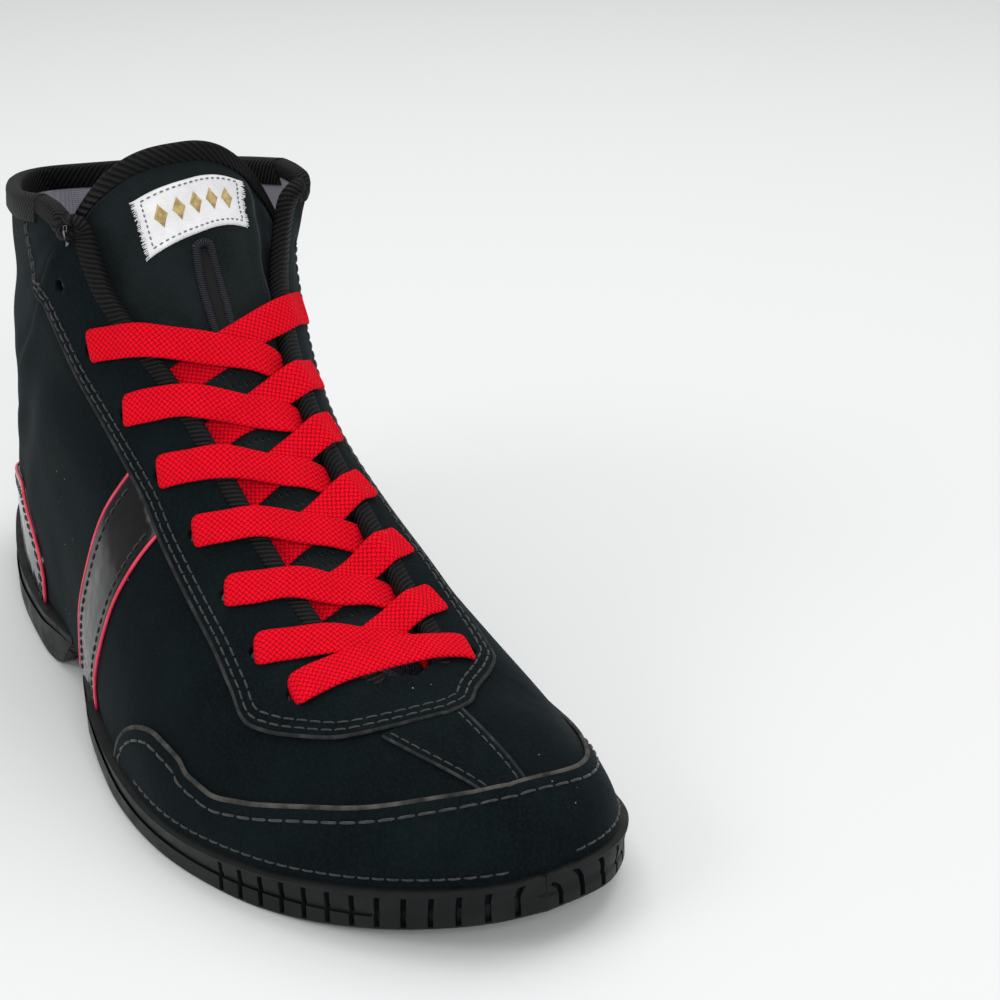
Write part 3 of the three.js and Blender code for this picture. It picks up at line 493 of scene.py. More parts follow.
def tube(points, normals, radius, sides=8, flat=1.0):
    """Round bead along a line, as points and faces. flat squeezes it along the normals."""
    along = unit(np.gradient(points, axis=0))
    across = unit(np.cross(normals, along))
    up = np.cross(along, across)
    a = np.linspace(0, 2 * np.pi, sides, endpoint=False)
    ring = across[:, None] * np.cos(a)[:, None] + up[:, None] * (np.sin(a) * flat)[:, None]
    pts = (points[:, None] + ring * radius).reshape(-1, 3)
    faces = grid_faces(len(points), sides, close_columns=True).tolist()
    return pts, faces + ring_ends(len(points), sides)


def join(parts):
    """Several (points, faces) as one."""
    points, faces, start = [], [], 0
    for p, f in parts:
        points.append(p)
        faces += [[a + start for a in face] for face in f]
        start += len(p)
    return np.concatenate(points), faces


def along_line(u, s, values):
    """Vectors between those that a line has at lengths s, read at lengths u."""
    return np.stack([np.interp(u, s, values[:, k]) for k in range(3)], -1)


def resample(points, step):
    """The same line with points about one step apart."""
    s = walked(points)
    u = np.linspace(0, s[-1], max(int(s[-1] / step), 2) + 1)
    return along_line(u, s, points)


def threads(p, n, radius, sides=6, capped=False):
    """Many short tubes along the rows of p, as one (points, faces)."""
    along = unit(np.gradient(p, axis=1))
    across = unit(np.cross(n, along))
    up = np.cross(along, across)
    a = np.linspace(0, 2 * np.pi, sides, endpoint=False)
    ring = across[:, :, None] * np.cos(a)[:, None] + up[:, :, None] * np.sin(a)[:, None]
    count, steps = p.shape[:2]
    one = grid_faces(steps, sides, close_columns=True).tolist() + (ring_ends(steps, sides) if capped else [])
    faces = [[k + i * steps * sides for k in face] for i in range(count) for face in one]
    return (p[:, :, None] + ring * radius).reshape(-1, 3), faces


def stitches(points, normals, length=3.0, gap=0.9, radius=0.28, slant=0.0):
    """Thread stitches along a line: short arcs that start and end in the surface."""
    s = walked(points)
    starts = np.arange(gap, s[-1] - length, length + gap)
    if not len(starts):
        return []
    u = np.linspace(0, 1, 6)
    at = starts[:, None] + u[None, :] * length
    p = along_line(at, s, points)
    n = unit(along_line(at, s, normals))
    along = unit(np.gradient(p, axis=1))
    across = unit(np.cross(n, along))
    hump = np.sin(np.pi * u) ** 0.5 * radius * 1.3 - radius * 0.7
    p = p + n * hump[None, :, None] + across * (slant * (u - 0.5))[None, :, None]
    return [threads(p, n, radius)]


def surface_line(line, height):
    """Points and normals of a (t, v, side) line above the suede."""
    return on_upper(*line, height), unit(outward(*line))


def sweep(points, across, up, profile, name, material, scale=None, capped=True, uv_scale=1.0):
    """Closed profile, as (across, up) pairs in mm, along a line; UV is mm along and round the profile."""
    profile = np.array(profile, float)
    scale = np.ones((len(points), 2)) if scale is None else scale
    pts = (points[:, None] + across[:, None] * (profile[None, :, 0] * scale[:, None, 0])[..., None]
           + up[:, None] * (profile[None, :, 1] * scale[:, None, 1])[..., None])
    count = len(profile)
    faces = grid_faces(len(points), count, close_columns=True)
    s = walked(points)
    around = walked(np.vstack([profile, profile[:1]]))
    uv = strip_uv(s, around)
    faces = faces.tolist()
    if capped:
        faces += ring_ends(len(points), count)
        uv = np.concatenate([uv, np.stack([np.zeros(count), around[:-1]], -1)[::-1],
                             np.stack([np.full(count, s[-1]), around[:-1]], -1)])
    return make(name, pts.reshape(-1, 3), faces, material, uv=uv * uv_scale, smooth=60)


# Materials
class Look:
    """A material's node tree, with short calls for the nodes used here."""

    def __init__(self, name, color, roughness, **sockets):
        self.material = bpy.data.materials.new(name)
        self.material.use_nodes = True
        self.tree = self.material.node_tree
        self.shader = self.tree.nodes["Principled BSDF"]
        self.set("Base Color", (*color, 1))
        self.set("Roughness", roughness)
        for socket, value in sockets.items():
            self.set(socket.replace("_", " "), value)
        self.heights = []

    def set(self, socket, value):
        self.shader.inputs[socket].default_value = value

    def link(self, source, target):
        self.tree.links.new(source, target)

    def node(self, kind, inputs=(), **values):
        n = self.tree.nodes.new(kind)
        for key, value in values.items():
            setattr(n, key, value)
        for key, value in dict(inputs).items():
            if isinstance(value, bpy.types.NodeSocket):
                self.link(value, n.inputs[key])
            else:
                n.inputs[key].default_value = value
        return n

    def coordinates(self, kind="Object", scale=(1, 1, 1), turn=0.0):
        source = self.node("ShaderNodeTexCoord").outputs[kind]
        inputs = {"Vector": source, "Scale": scale, "Rotation": (0, 0, turn)}
        return self.node("ShaderNodeMapping", inputs).outputs[0]

    def noise(self, scale, detail=2.0, rough=0.5):
        inputs = {"Vector": self.coordinates(), "Scale": scale, "Detail": detail, "Roughness": rough}
        return self.node("ShaderNodeTexNoise", inputs).outputs["Fac"]

    def voronoi(self, scale, feature="F1"):
        inputs = {"Vector": self.coordinates(), "Scale": scale}
        return self.node("ShaderNodeTexVoronoi", inputs, feature=feature).outputs["Distance"]

    def math(self, operation, a, b=0.0):
        return self.node("ShaderNodeMath", {0: a, 1: b}, operation=operation).outputs[0]

    def range(self, value, low, high, out_low=0.0, out_high=1.0):
        return self.node("ShaderNodeMapRange", {"Value": value, "From Min": low, "From Max": high,
                                                "To Min": out_low, "To Max": out_high}).outputs[0]

    def mix(self, factor, a, b):
        n = self.node("ShaderNodeMix", data_type="RGBA")
        for key, value in ((0, factor), (6, a), (7, b)):
            if isinstance(value, bpy.types.NodeSocket):
                self.link(value, n.inputs[key])
            else:
                n.inputs[key].default_value = value if key == 0 else (*value, 1)
        return n.outputs[2]

    def color(self, source):
        self.link(source, self.shader.inputs["Base Color"])

    def roughness(self, source):
        self.link(source, self.shader.inputs["Roughness"])

    def bump(self, height, strength, distance):
        """Stacks a bump of the given distance in mm on those before it."""
        inputs = {"Height": height, "Strength": strength, "Distance": distance / 1000}
        if self.heights:
            inputs["Normal"] = self.heights[-1]
        self.heights.append(self.node("ShaderNodeBump", inputs).outputs[0])
        self.link(self.heights[-1], self.shader.inputs["Normal"])


def suede(name, dark, light, patch):
    look = Look(name, dark, 0.9, Sheen_Weight=0.04, Sheen_Roughness=0.4, Sheen_Tint=(0.75, 0.92, 1.0, 1),
                Specular_IOR_Level=0.05)
    brushed = look.noise(70, 3, 0.55)
    nap = look.noise(1400, 2, 0.6)
    fleck = look.noise(3600, 1, 0.5)
    # The lighter brushed patches and nap flecks are partly tone that differs at random, partly painted sheen of the
    # nap
    tone = look.mix(look.range(brushed, 0.35, 0.68), dark, light)
    tone = look.mix(look.range(nap, 0.42, 0.75, 0.0, 0.55), tone, patch)
    lint_place = look.range(look.voronoi(300), 0.05, 0.075, 1.0, 0.0)
    lint_some = look.math("GREATER_THAN", look.noise(55, 1), 0.60)
    tone = look.mix(look.math("MULTIPLY", lint_place, lint_some), tone, (0.22, 0.24, 0.26))
    look.color(tone)
    look.roughness(look.range(brushed, 0.3, 0.7, 0.82, 0.97))
    look.bump(look.noise(110, 3, 0.6), 0.5, 0.35)
    look.bump(nap, 0.75, 0.16)
    look.bump(fleck, 0.6, 0.08)
    return look.material


# light and patch: the lighter tones of the brushed patches and nap flecks, partly painted sheen of the nap
SUEDE = suede("black_suede", (0.0020, 0.0044, 0.0052), (0.0046, 0.0084, 0.0096), (0.0085, 0.0132, 0.0150))
SUEDE_OVERLAY = suede("black_suede_overlay", (0.0022, 0.0048, 0.0056), (0.0050, 0.0090, 0.0102),
                      (0.0095, 0.0145, 0.0162))


def raw_edge():
    look = Look("raw_suede_edge", (0.07, 0.068, 0.062), 0.95)
    worn = look.range(look.noise(260, 3), 0.35, 0.65)
    look.color(look.mix(worn, (0.010, 0.011, 0.011), (0.075, 0.072, 0.064)))
    look.bump(look.noise(1500, 2), 0.6, 0.1)
    return look.material


def dark_edge():
    look = Look("dark_suede_edge", (0.008, 0.009, 0.011), 0.9)
    worn = look.range(look.noise(300, 3), 0.45, 0.7)
    look.color(look.mix(worn, (0.004, 0.005, 0.006), (0.03, 0.031, 0.032)))
    look.bump(look.noise(1500, 2), 0.6, 0.1)
    return look.material


def patent():
    look = Look("black_patent", (0.0022, 0.0022, 0.0024), 0.16, Coat_Weight=0.12, Coat_Roughness=0.06,
                Specular_IOR_Level=0.2)
    look.bump(look.noise(75, 2, 0.5), 0.8, 1.3)
    look.bump(look.noise(420, 2, 0.5), 0.16, 0.12)
    look.roughness(look.range(look.noise(120, 2), 0.3, 0.7, 0.09, 0.22))
    return look.material


def piping(name, color, lift):
    look = Look(name, color, 0.42, Coat_Weight=0.4, Coat_Roughness=0.2)
    look.color(look.mix(look.range(look.noise(220, 2), 0.35, 0.7), color, lift))
    look.bump(look.noise(900, 2), 0.3, 0.08)
    return look.material


def rubber():
    look = Look("dark_rubber", (0.010, 0.0125, 0.013), 0.55, Specular_IOR_Level=0.15)
    dust = look.range(look.noise(38, 4, 0.6), 0.42, 0.72)
    look.color(look.mix(dust, (0.0062, 0.0074, 0.0078), (0.0140, 0.0160, 0.0162)))
    look.roughness(look.range(look.noise(160, 3), 0.3, 0.7, 0.40, 0.60))
    look.bump(look.noise(900, 3, 0.6), 0.35, 0.1)
    look.bump(look.noise(90, 2), 0.2, 0.3)
    return look.material


def tread():
    look = Look("tread_rubber", (0.014, 0.014, 0.016), 0.6)
    cell = look.voronoi(190, feature="DISTANCE_TO_EDGE")
    groove = look.range(cell, 0.04, 0.14)
    # The grooves between the cells get the darker colour: painted shade in the grooves
    look.color(look.mix(groove, (0.006, 0.006, 0.007), (0.020, 0.020, 0.022)))
    look.bump(groove, 0.9, 0.7)
    look.bump(look.noise(1200, 2), 0.3, 0.08)
    return look.material


def lining():
    look = Look("lilac_lining", (0.40, 0.38, 0.45), 0.9, Sheen_Weight=0.2)
    rows = look.node("ShaderNodeTexWave", {"Vector": look.coordinates(), "Scale": 520.0, "Distortion": 0.6,
                                           "Detail": 1.0}, bands_direction="Z").outputs["Fac"]
    ribs = look.node("ShaderNodeTexWave", {"Vector": look.coordinates(), "Scale": 430.0, "Distortion": 0.6,
                                           "Detail": 1.0}, bands_direction="X").outputs["Fac"]
    knit = look.math("MULTIPLY", rows, ribs)
    # Colour follows the knit's relief: painted shade in its hollows, lighter on the loops
    look.color(look.mix(look.range(knit, 0.1, 0.7), (0.30, 0.285, 0.34), (0.46, 0.44, 0.51)))
    look.bump(knit, 0.6, 0.35)
    return look.material


def braid():
    """Flat braid: two sets of slanting strands from the UV, which is in millimetres."""
    look = Look("red_braid", (0.60, 0.005, 0.018), 0.8, Specular_IOR_Level=0.06)
    uv = look.node("ShaderNodeTexCoord").outputs["UV"]
    parts = look.node("ShaderNodeSeparateXYZ", {0: uv}).outputs
    along, across = parts[0], parts[1]
    strand = 1.45
    a = look.math("MULTIPLY", look.math("ADD", along, across), 2 * math.pi / strand)
    b = look.math("MULTIPLY", look.math("SUBTRACT", along, across), 2 * math.pi / strand)
    over = look.math("GREATER_THAN", look.math("MULTIPLY", look.math("SINE", look.math("MULTIPLY", a, 0.5)),
                                               look.math("SINE", look.math("MULTIPLY", b, 0.5))), 0.0)
    wave_a = look.math("ABSOLUTE", look.math("SINE", look.math("MULTIPLY", a, 0.5)))
    wave_b = look.math("ABSOLUTE", look.math("SINE", look.math("MULTIPLY", b, 0.5)))
    chosen = look.node("ShaderNodeMix", {0: over, 2: wave_a, 3: wave_b}, data_type="FLOAT").outputs[0]
    cover = look.math("POWER", chosen, 0.6)
    worn = look.range(look.noise(240, 2), 0.3, 0.7, 0.82, 1.0)
    # Where the strands' cover is low, between them, the colour goes to the dark red: painted shade between the
    # strands
    share = look.math("MULTIPLY", look.range(cover, 0.25, 0.95), worn)
    tone = look.mix(share, (0.42, 0.0012, 0.007), (0.97, 0.0030, 0.020))
    look.color(tone)
    look.bump(cover, 0.85, 0.45)
    look.bump(look.noise(2600, 1), 0.5, 0.08)
    return look.material


def tape(name, pitch, lean, dark, light, distance):
    """Ribbed tape: slanting ribs from the UV in millimetres."""
    look = Look(name, dark, 0.6, Specular_IOR_Level=0.12)
    uv = look.node("ShaderNodeTexCoord").outputs["UV"]
    parts = look.node("ShaderNodeSeparateXYZ", {0: uv}).outputs
    phase = look.math("ADD", parts[0], look.math("MULTIPLY", parts[1], lean))
    rib = look.math("SINE", look.math("MULTIPLY", phase, 2 * math.pi / pitch))
    fine = look.math("SINE", look.math("MULTIPLY", parts[0], 2 * math.pi / (pitch * 0.36)))
    height = look.math("ADD", rib, look.math("MULTIPLY", fine, 0.25))
    # Colour follows the rib height: painted shade in the troughs, painted highlight on the crests
    look.color(look.mix(look.range(height, -0.9, 1.1), dark, light))
    look.bump(height, 0.8, distance)
    look.bump(look.noise(2200, 1), 0.4, 0.06)
    return look.material


def thread(name, dark, light):
    look = Look(name, dark, 0.6, Sheen_Weight=0.2)
    look.color(look.mix(look.range(look.noise(700, 2), 0.35, 0.65), dark, light))
    look.bump(look.noise(2400, 1), 0.5, 0.08)
    return look.material


def satin():
    look = Look("label_satin", (0.76, 0.76, 0.80), 0.42, Sheen_Weight=0.2)
    weave = look.node("ShaderNodeTexWave", {"Vector": look.coordinates(scale=(1, 1, 1.2)), "Scale": 620.0,
                                            "Distortion": 0.8, "Detail": 1.0}, bands_direction="Z").outputs["Fac"]
    shade = look.range(look.noise(180, 2), 0.3, 0.7)
    look.color(look.mix(shade, (0.78, 0.78, 0.80), (0.90, 0.90, 0.91)))
    look.bump(weave, 0.35, 0.12)
    return look.material


RAW_EDGE = raw_edge()
DARK_EDGE = dark_edge()
PATENT = patent()
RED_PIPING = piping("red_piping", (0.66, 0.012, 0.050), (0.85, 0.05, 0.12))
RUBBER = rubber()
TREAD = tread()
LINING = lining()
BRAID = braid()
COLLAR_TAPE = tape("collar_tape", 2.1, 1.15, (0.0022, 0.0024, 0.0026), (0.0115, 0.0120, 0.0125), 0.45)
THROAT_TAPE = tape("throat_tape", 1.3, 0.5, (0.0020, 0.0021, 0.0023), (0.0170, 0.0175, 0.0180), 0.35)
THREAD = thread("black_thread", (0.003, 0.003, 0.004), (0.014, 0.015, 0.016))
GREY_THREAD = thread("grey_thread", (0.006, 0.008, 0.009), (0.026, 0.029, 0.031))
GOLD_THREAD = thread("gold_thread", (0.34, 0.235, 0.075), (0.62, 0.47, 0.20))
DOT_THREAD = thread("dot_thread", (0.10, 0.11, 0.16), (0.20, 0.21, 0.27))
SATIN = satin()


# Upper: suede outside, knitted lining inside
UPPER_ROWS = np.unique(np.concatenate([np.linspace(0, 2, 26), np.linspace(2, 5, 40), [5.06, 5.1, 5.14, 5.2],
                                       np.linspace(5, 21, 150)]))


def under_edge(t):
    """Lowest v of the upper: turned under the foot, closed at the toe and the heel and under the arch."""
    inside = (t >= TOE_TURN) & (t < HEEL_TURN)
    return np.where(inside & ~((t > 8.9) & (t < 10.3)), LASTING_MARGIN, CENTRE_LINE)


def upper_grid(side, rows, columns):
    t = np.repeat(rows[:, None], columns, 1)
    low, high = under_edge(rows), throat_edge(rows)
    share = np.concatenate([np.linspace(0, 1, 8, endpoint=False) - 1, np.linspace(0, 1, columns - 8)])
    v = np.where(share < 0, share * -low[:, None], share * high[:, None])
    return t, v, side


upper_sides = [upper_grid(side, UPPER_ROWS, 62) for side in SIDES]
upper = shell("upper_suede", upper_sides, SUEDE_BASE, 0.0, SUEDE, edge=0)
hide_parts("upper")
lining_sides = [upper_grid(side, UPPER_ROWS, 80) for side in SIDES]
lining_holes = [last_point(t, v, side) for side in SIDES for t, v in HOLES[side]]
shell("upper_lining", lining_sides, -WALL, SUEDE_BASE - 0.02, LINING, edge=0, holes=lining_holes)


# Overlays of suede and patent
BELOW_FEATHER = -0.03
OVERLAY_LOW = -0.3            # underside of an overlay, sunk into the quarter


def feather_line(t):
    return np.zeros_like(t) + BELOW_FEATHER


def guard_region(side):
    end = GUARD_TOP[side][-1][0]
    start = GUARD_TOP[side][0][0]
    rows = np.concatenate([np.linspace(0, 2.6, 34), np.linspace(2.6, 3.0, 14), np.linspace(3.0, end, 60)])
    top = lambda t: np.where(t < start, 1.0, curve(GUARD_TOP[side], t))
    return region(np.unique(rows), feather_line, top, side, 22)


guard = shell("toe_guard_suede", [guard_region(s) for s in SIDES], OVERLAY_LOW, OVERLAY_TOP, SUEDE_OVERLAY,
              edge=0.9)
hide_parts("toe_guard")

bib = shell("throat_bib_suede",
            [region(rows_of(4.3, 6.8, 46), lambda t, s=s: curve(BIB_EDGE[s], t), throat_edge, s, 18)
             for s in SIDES], OVERLAY_LOW, OVERLAY_TOP, SUEDE_OVERLAY, edge=0.9)
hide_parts("throat_bib")

for side, word in NAMED_SIDES:
    seam = lambda t: curve(EYESTAY_SEAM[side], t)
    stay = shell(f"eyestay_{word}_suede", [region(rows_of(6.3, 21, 120), seam, throat_edge, side, 14)],
                 OVERLAY_LOW, EYESTAY_TOP, SUEDE_OVERLAY, edge=0.8)
    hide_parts(f"eyestay_{word}")

strip = shell("vamp_strip_suede",
              [region(rows_of(2.62, 4.4, 26), lambda t, s=s: curve(STRIP[s], t), np.ones_like, s, 6)
               for s in SIDES], OVERLAY_LOW, 0.55, SUEDE_OVERLAY, edge=0.7)
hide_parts("vamp_strip")


def counter_region(side):
    rows = np.unique(np.concatenate([np.linspace(10.9, 15, 50), np.linspace(15, 17, 40)]))
    low = lambda t: np.where(t > 15.0, CENTRE_LINE, BELOW_FEATHER)
    return region(rows, low, lambda t: np.maximum(curve(COUNTER_TOP, t), low(t)), side, 16)


counter = shell("heel_counter_patent", [counter_region(s) for s in SIDES], OVERLAY_LOW, 1.2, PATENT,
                edge=0.9)
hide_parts("heel_counter")

for side, word in NAMED_SIDES:
    top = lambda t: curve(EYESTAY_SEAM[side], t) + 0.005
    band = shell(f"saddle_band_{word}_patent", [region(rows_of(*BAND[side], 16), np.zeros_like, top, side, 26)],
                 OVERLAY_LOW, 0.85, PATENT, edge=0.8)
    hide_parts(f"saddle_band_{word}")


# Holes punched through the flaps
def cut(piece, cutter):
    """Takes the cutter out of the piece for good."""
    modifier = piece.modifiers.new("cut", "BOOLEAN")
    modifier.object = cutter
    modifier.solver = "EXACT"
    depsgraph = bpy.context.evaluated_depsgraph_get()
    mesh = bpy.data.meshes.new_from_object(piece.evaluated_get(depsgraph))
    piece.modifiers.clear()
    piece.data = mesh


def pin(t, v, side, radius, depth=5.0, sides=24):
    """Closed cylinder square through the wall."""
    centre = on_upper(*(np.array([x]) for x in (t, v, side)), 0.0)[0]
    axis = unit(outward(np.array([t]), np.array([v]), np.array([side])))[0]
    across = unit(np.cross(axis, [0.3, 0.2, 1.0]))
    other = np.cross(axis, across)
    a = np.linspace(0, 2 * np.pi, sides, endpoint=False)[:, None]
    ring = (across * np.cos(a) + other * np.sin(a)) * radius
    points = np.concatenate([centre + ring - axis * depth, centre + ring + axis * depth])
    return points, grid_faces(2, sides, close_columns=True).tolist() + ring_ends(2, sides)


HOLE_RADIUS = 1.6


# Bindings
def bound(name, line, inward, profile, material, lift=0.0):
    """Folded tape along an edge line. profile has (distance from the edge, height) in mm; the first points
    lie outside and the last inside, and a distance below 0 is past the edge."""
    inner = last_point(*inset(line, inward * 2.0))
    past = unit(last_point(*line) - inner)
    rings = []
    for distance, height in profile:
        at = inset(line, inward * max(distance, 0.0)) if distance > 0 else line
        rings.append(on_upper(*at, np.zeros(len(line[0])) + height + lift) + past * max(-distance, 0.0))
    points = np.stack(rings, 1)
    count = len(profile)
    s = walked(points[:, count // 2])
    flat = np.array(list(profile) + [profile[0]], float)
    around = walked(flat)
    uv = np.concatenate([strip_uv(s, around), np.zeros((2 * count, 2))])
    faces = grid_faces(len(points), count, close_columns=True).tolist() + ring_ends(len(points), count)
    return make(name, points.reshape(-1, 3), faces, material, uv=uv, smooth=70)


COLLAR_PROFILE = [(6.0, 0.2), (6.0, 1.35), (5.7, 1.55), (4.0, 1.62), (2.0, 1.62), (0.6, 1.55), (-0.15, 1.2),
                  (-0.65, 0.4), (-0.85, -0.6), (-0.8, -1.5), (-0.4, -2.3), (0.5, -2.7), (3.0, -2.75), (5.8, -2.7), (6.0, -2.4)]
THROAT_PROFILE = [(3.8, 0.3), (3.8, 1.15), (3.55, 1.4), (2.4, 1.5), (1.0, 1.5), (0.2, 1.35), (-0.35, 0.9),
                  (-0.6, 0.0), (-0.65, -1.0), (-0.5, -1.9), (0.0, -2.45), (1.2, -2.6), (3.4, -2.55), (3.6, -2.3)]
for side, word in NAMED_SIDES:
    t = np.linspace(5.16, 21, 340)
    bound(f"throat_tape_{word}", (t, throat_edge(t), np.full(len(t), side)), 1 if side < 0 else -1,
          THROAT_PROFILE, THROAT_TAPE)
COLLAR_COUNT = 90
collar_v = np.concatenate([np.linspace(0.60, 0, COLLAR_COUNT), np.linspace(0, 0.60, COLLAR_COUNT)[1:]])
collar_side = np.concatenate([np.full(COLLAR_COUNT, LATERAL), np.full(COLLAR_COUNT - 1, MEDIAL)])
collar_line = (np.full(len(collar_v), 20.999), collar_v, collar_side)
bound("collar_tape", collar_line, 1, COLLAR_PROFILE, COLLAR_TAPE)


# Tongue
TONGUE_ROWS = np.array([
    [5.5, 211.5, 9.0, 42.0, 5.5, 5.5],
    [6.4, 194.0, 8.5, 49.5, 6.4, 6.4],
    [7.2, 180.5, 8.0, 57.6, 7.2, 7.2],
    [8.0, 167.2, 7.5, 66.6, 8.0, 8.0],
    [8.8, 154.0, 7.0, 77.4, 8.8, 8.8],
    [9.6, 142.0, 6.5, 89.0, 9.6, 9.6],
    [10.4, 131.5, 6.0, 101.0, 10.4, 10.4],
    [11.2, 123.5, 5.5, 113.5, 11.2, 11.2],
    [12.0, 118.0, 5.0, 126.0, 12.2, 12.0],
    [12.8, 114.5, 4.5, 135.5, 14.0, 12.8],
    [13.4, 112.5, 4.0, 142.0, 17.0, 13.6],
])
TONGUE_END = len(TONGUE_ROWS) - 1
TUCK = 0.1
TONGUE_ROUND = 2.2
TONGUE_ROW_LENGTH, TONGUE_HALF_WIDTH = 14.0, 42.0   # for the UV, in mm
TONGUE_TAPE_ROUND = 17.0     # length of the tape's profile
TONGUE_FOLDS = [((6.6, 0.62), (8.6, 0.55), 0.10, -1.3), ((6.8, 0.74), (9.0, 0.68), 0.08, 1.0),
                ((7.2, -0.62), (9.2, -0.70), 0.10, -0.9), ((5.6, -0.42), (6.9, -0.50), 0.09, 0.7)]


def tongue_column(row, j):
    return curve(np.stack([np.arange(TONGUE_END + 1), TONGUE_ROWS[:, j]], -1), row)


def tongue_middle(row, w):
    side = np.where(w < 0, LATERAL, MEDIAL)
    t = np.where(side < 0, tongue_column(row, 4), tongue_column(row, 5))
    v = np.minimum(throat_edge(t), throat_edge(5.5)) - TUCK
    edge = offset_point(t, v, side, np.full(t.shape, -WALL - GAP - TONGUE / 2 - 0.5))
    f = np.abs(w)
    square = TONGUE_ROUND + 1.1 * np.clip((row - 5) / 4, 0, 1) * (w < 0)
    arch = 1 - f ** square
    x, y, z = (tongue_column(row, j) for j in (1, 2, 3))
    return np.stack([edge[..., 0] + (x - edge[..., 0]) * arch, y + (edge[..., 1] - y) * f,
                     edge[..., 2] + (z - edge[..., 2]) * arch], -1)


def tongue_base(row, w):
    """The tongue's middle surface; past its last row it runs on straight."""
    inside = np.minimum(row, TONGUE_END)
    p = tongue_middle(inside, w)
    step = (tongue_middle(np.full(row.shape, TONGUE_END), w)
            - tongue_middle(np.full(row.shape, TONGUE_END - 0.2), w)) / 0.2
    return p + step * np.maximum(row - TONGUE_END, 0)[..., None]


def tongue_out(row, w):
    a, b = tongue_base(np.maximum(row - 0.5, 0), w), tongue_base(row + 0.5, w)
    c, d = tongue_base(row, np.maximum(w - 0.04, -1)), tongue_base(row, np.minimum(w + 0.04, 1))
    return unit(np.cross(b - a, c - d))


def tongue_point(row, w, rise):
    row, w = (np.array(x, float) for x in np.broadcast_arrays(row, w))
    return tongue_base(row, w) + tongue_out(row, w) * np.asarray(rise, float)[..., None]


def tongue_swell(row, w):
    """Padding and folds above the tongue's flat face, in mm."""
    pad = np.clip(np.sin(np.pi * np.clip((row - 5.4) / 4.5, 0, 1)), 0, 1)
    out = 0.9 * np.clip(1 - np.abs(w) ** 3, 0, 1) * pad
    out += 0.3 * np.sin(row * 2.6 + w * 2.2) * np.sin(w * 5.1 + 0.8) + 0.22 * np.sin(row * 5.3 - w * 3)
    flat = np.stack([row / 4.0, w], -1)
    for (r0, w0), (r1, w1), width, depth in TONGUE_FOLDS:
        a, b = np.array([r0 / 4.0, w0]), np.array([r1 / 4.0, w1])
        u = np.clip(((flat - a) @ (b - a)) / ((b - a) @ (b - a)), 0, 1)
        r = np.linalg.norm(flat - a - u[..., None] * (b - a), axis=-1)
        out -= depth * np.exp(-(r / width) ** 2)
    return out


def tongue_face(row, w, height):
    """Point above the tongue's outer face, with its padding."""
    row, w = (np.array(x, float) for x in np.broadcast_arrays(row, w))
    thick = np.sqrt(np.maximum(1 - 0.8 * w * w, 0.05))
    return tongue_point(row, w, TONGUE / 2 * thick + tongue_swell(row, w) + height)


def build_tongue():
    rows = np.linspace(0, TONGUE_END, 120)
    across = np.linspace(-1, 1, 80)
    row, w = np.meshgrid(rows, across, indexing="ij")
    thick = np.sqrt(1 - 0.8 * w * w)
    outer = tongue_face(row, w, 0.0)
    inner = tongue_point(row, w, -TONGUE / 2 * thick)
    all_faces = sheet_faces(*row.shape)
    place = np.stack([row.ravel() * TONGUE_ROW_LENGTH, w.ravel() * TONGUE_HALF_WIDTH], -1)
    place = np.concatenate([place, place - [0, 500.0]])
    uv = np.concatenate([place[np.array(f)] for f in all_faces])
    piece = make("tongue_suede", np.concatenate([outer.reshape(-1, 3), inner.reshape(-1, 3)]), all_faces,
                 TONGUE_SUEDE, uv=uv, smooth=60)
    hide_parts("tongue")


PINHOLE_PITCH, PINHOLES_END = 3.2, 76.0


def perforated(name):
    """Suede with rows of pinholes on the lower part; the UV is in millimetres from the tongue's lower end."""
    look = Look(name, (0.003, 0.006, 0.0068), 0.9, Sheen_Weight=0.10, Sheen_Roughness=0.4,
                Sheen_Tint=(0.75, 0.92, 1.0, 1), Specular_IOR_Level=0.2)
    parts = look.node("ShaderNodeSeparateXYZ", {0: look.node("ShaderNodeTexCoord").outputs["UV"]}).outputs
    along, across = parts[0], parts[1]
    half = look.math("MODULO", look.math("FLOOR", look.math("DIVIDE", along, PINHOLE_PITCH)), 2.0)
    u = look.math("SUBTRACT", look.math("FRACT", look.math("DIVIDE", along, PINHOLE_PITCH)), 0.5)
    w = look.math("SUBTRACT", look.math("FRACT", look.math("ADD", look.math("DIVIDE", across, PINHOLE_PITCH),
                                                           look.math("MULTIPLY", half, 0.5))), 0.5)
    r = look.math("SQRT", look.math("ADD", look.math("MULTIPLY", u, u), look.math("MULTIPLY", w, w)))
    outside = look.math("GREATER_THAN", across, -100.0)
    there = look.math("MULTIPLY", look.math("LESS_THAN", along, PINHOLES_END), outside)
    hole = look.math("MULTIPLY", look.range(r, 0.13, 0.19, 1.0, 0.0), there)
    nap = look.noise(1400, 2, 0.6)
    brushed = look.range(look.noise(70, 3), 0.35, 0.68)
    # The lighter brushed patches and nap flecks are partly tone that differs at random, partly painted sheen of the
    # nap
    tone = look.mix(brushed, (0.0030, 0.0060, 0.0068), (0.0068, 0.0115, 0.0128))
    tone = look.mix(look.range(nap, 0.42, 0.75, 0.0, 0.55), tone, (0.0115, 0.0170, 0.0190))
    # The pinholes get a near-black colour: painted shade inside each hole, with a dent in the bump
    look.color(look.mix(hole, tone, (0.0012, 0.0012, 0.0014)))
    look.bump(look.math("SUBTRACT", 1.0, hole), 0.9, 0.8)
    look.bump(nap, 0.75, 0.16)
    return look.material


TONGUE_SUEDE = perforated("tongue_suede")
build_tongue()


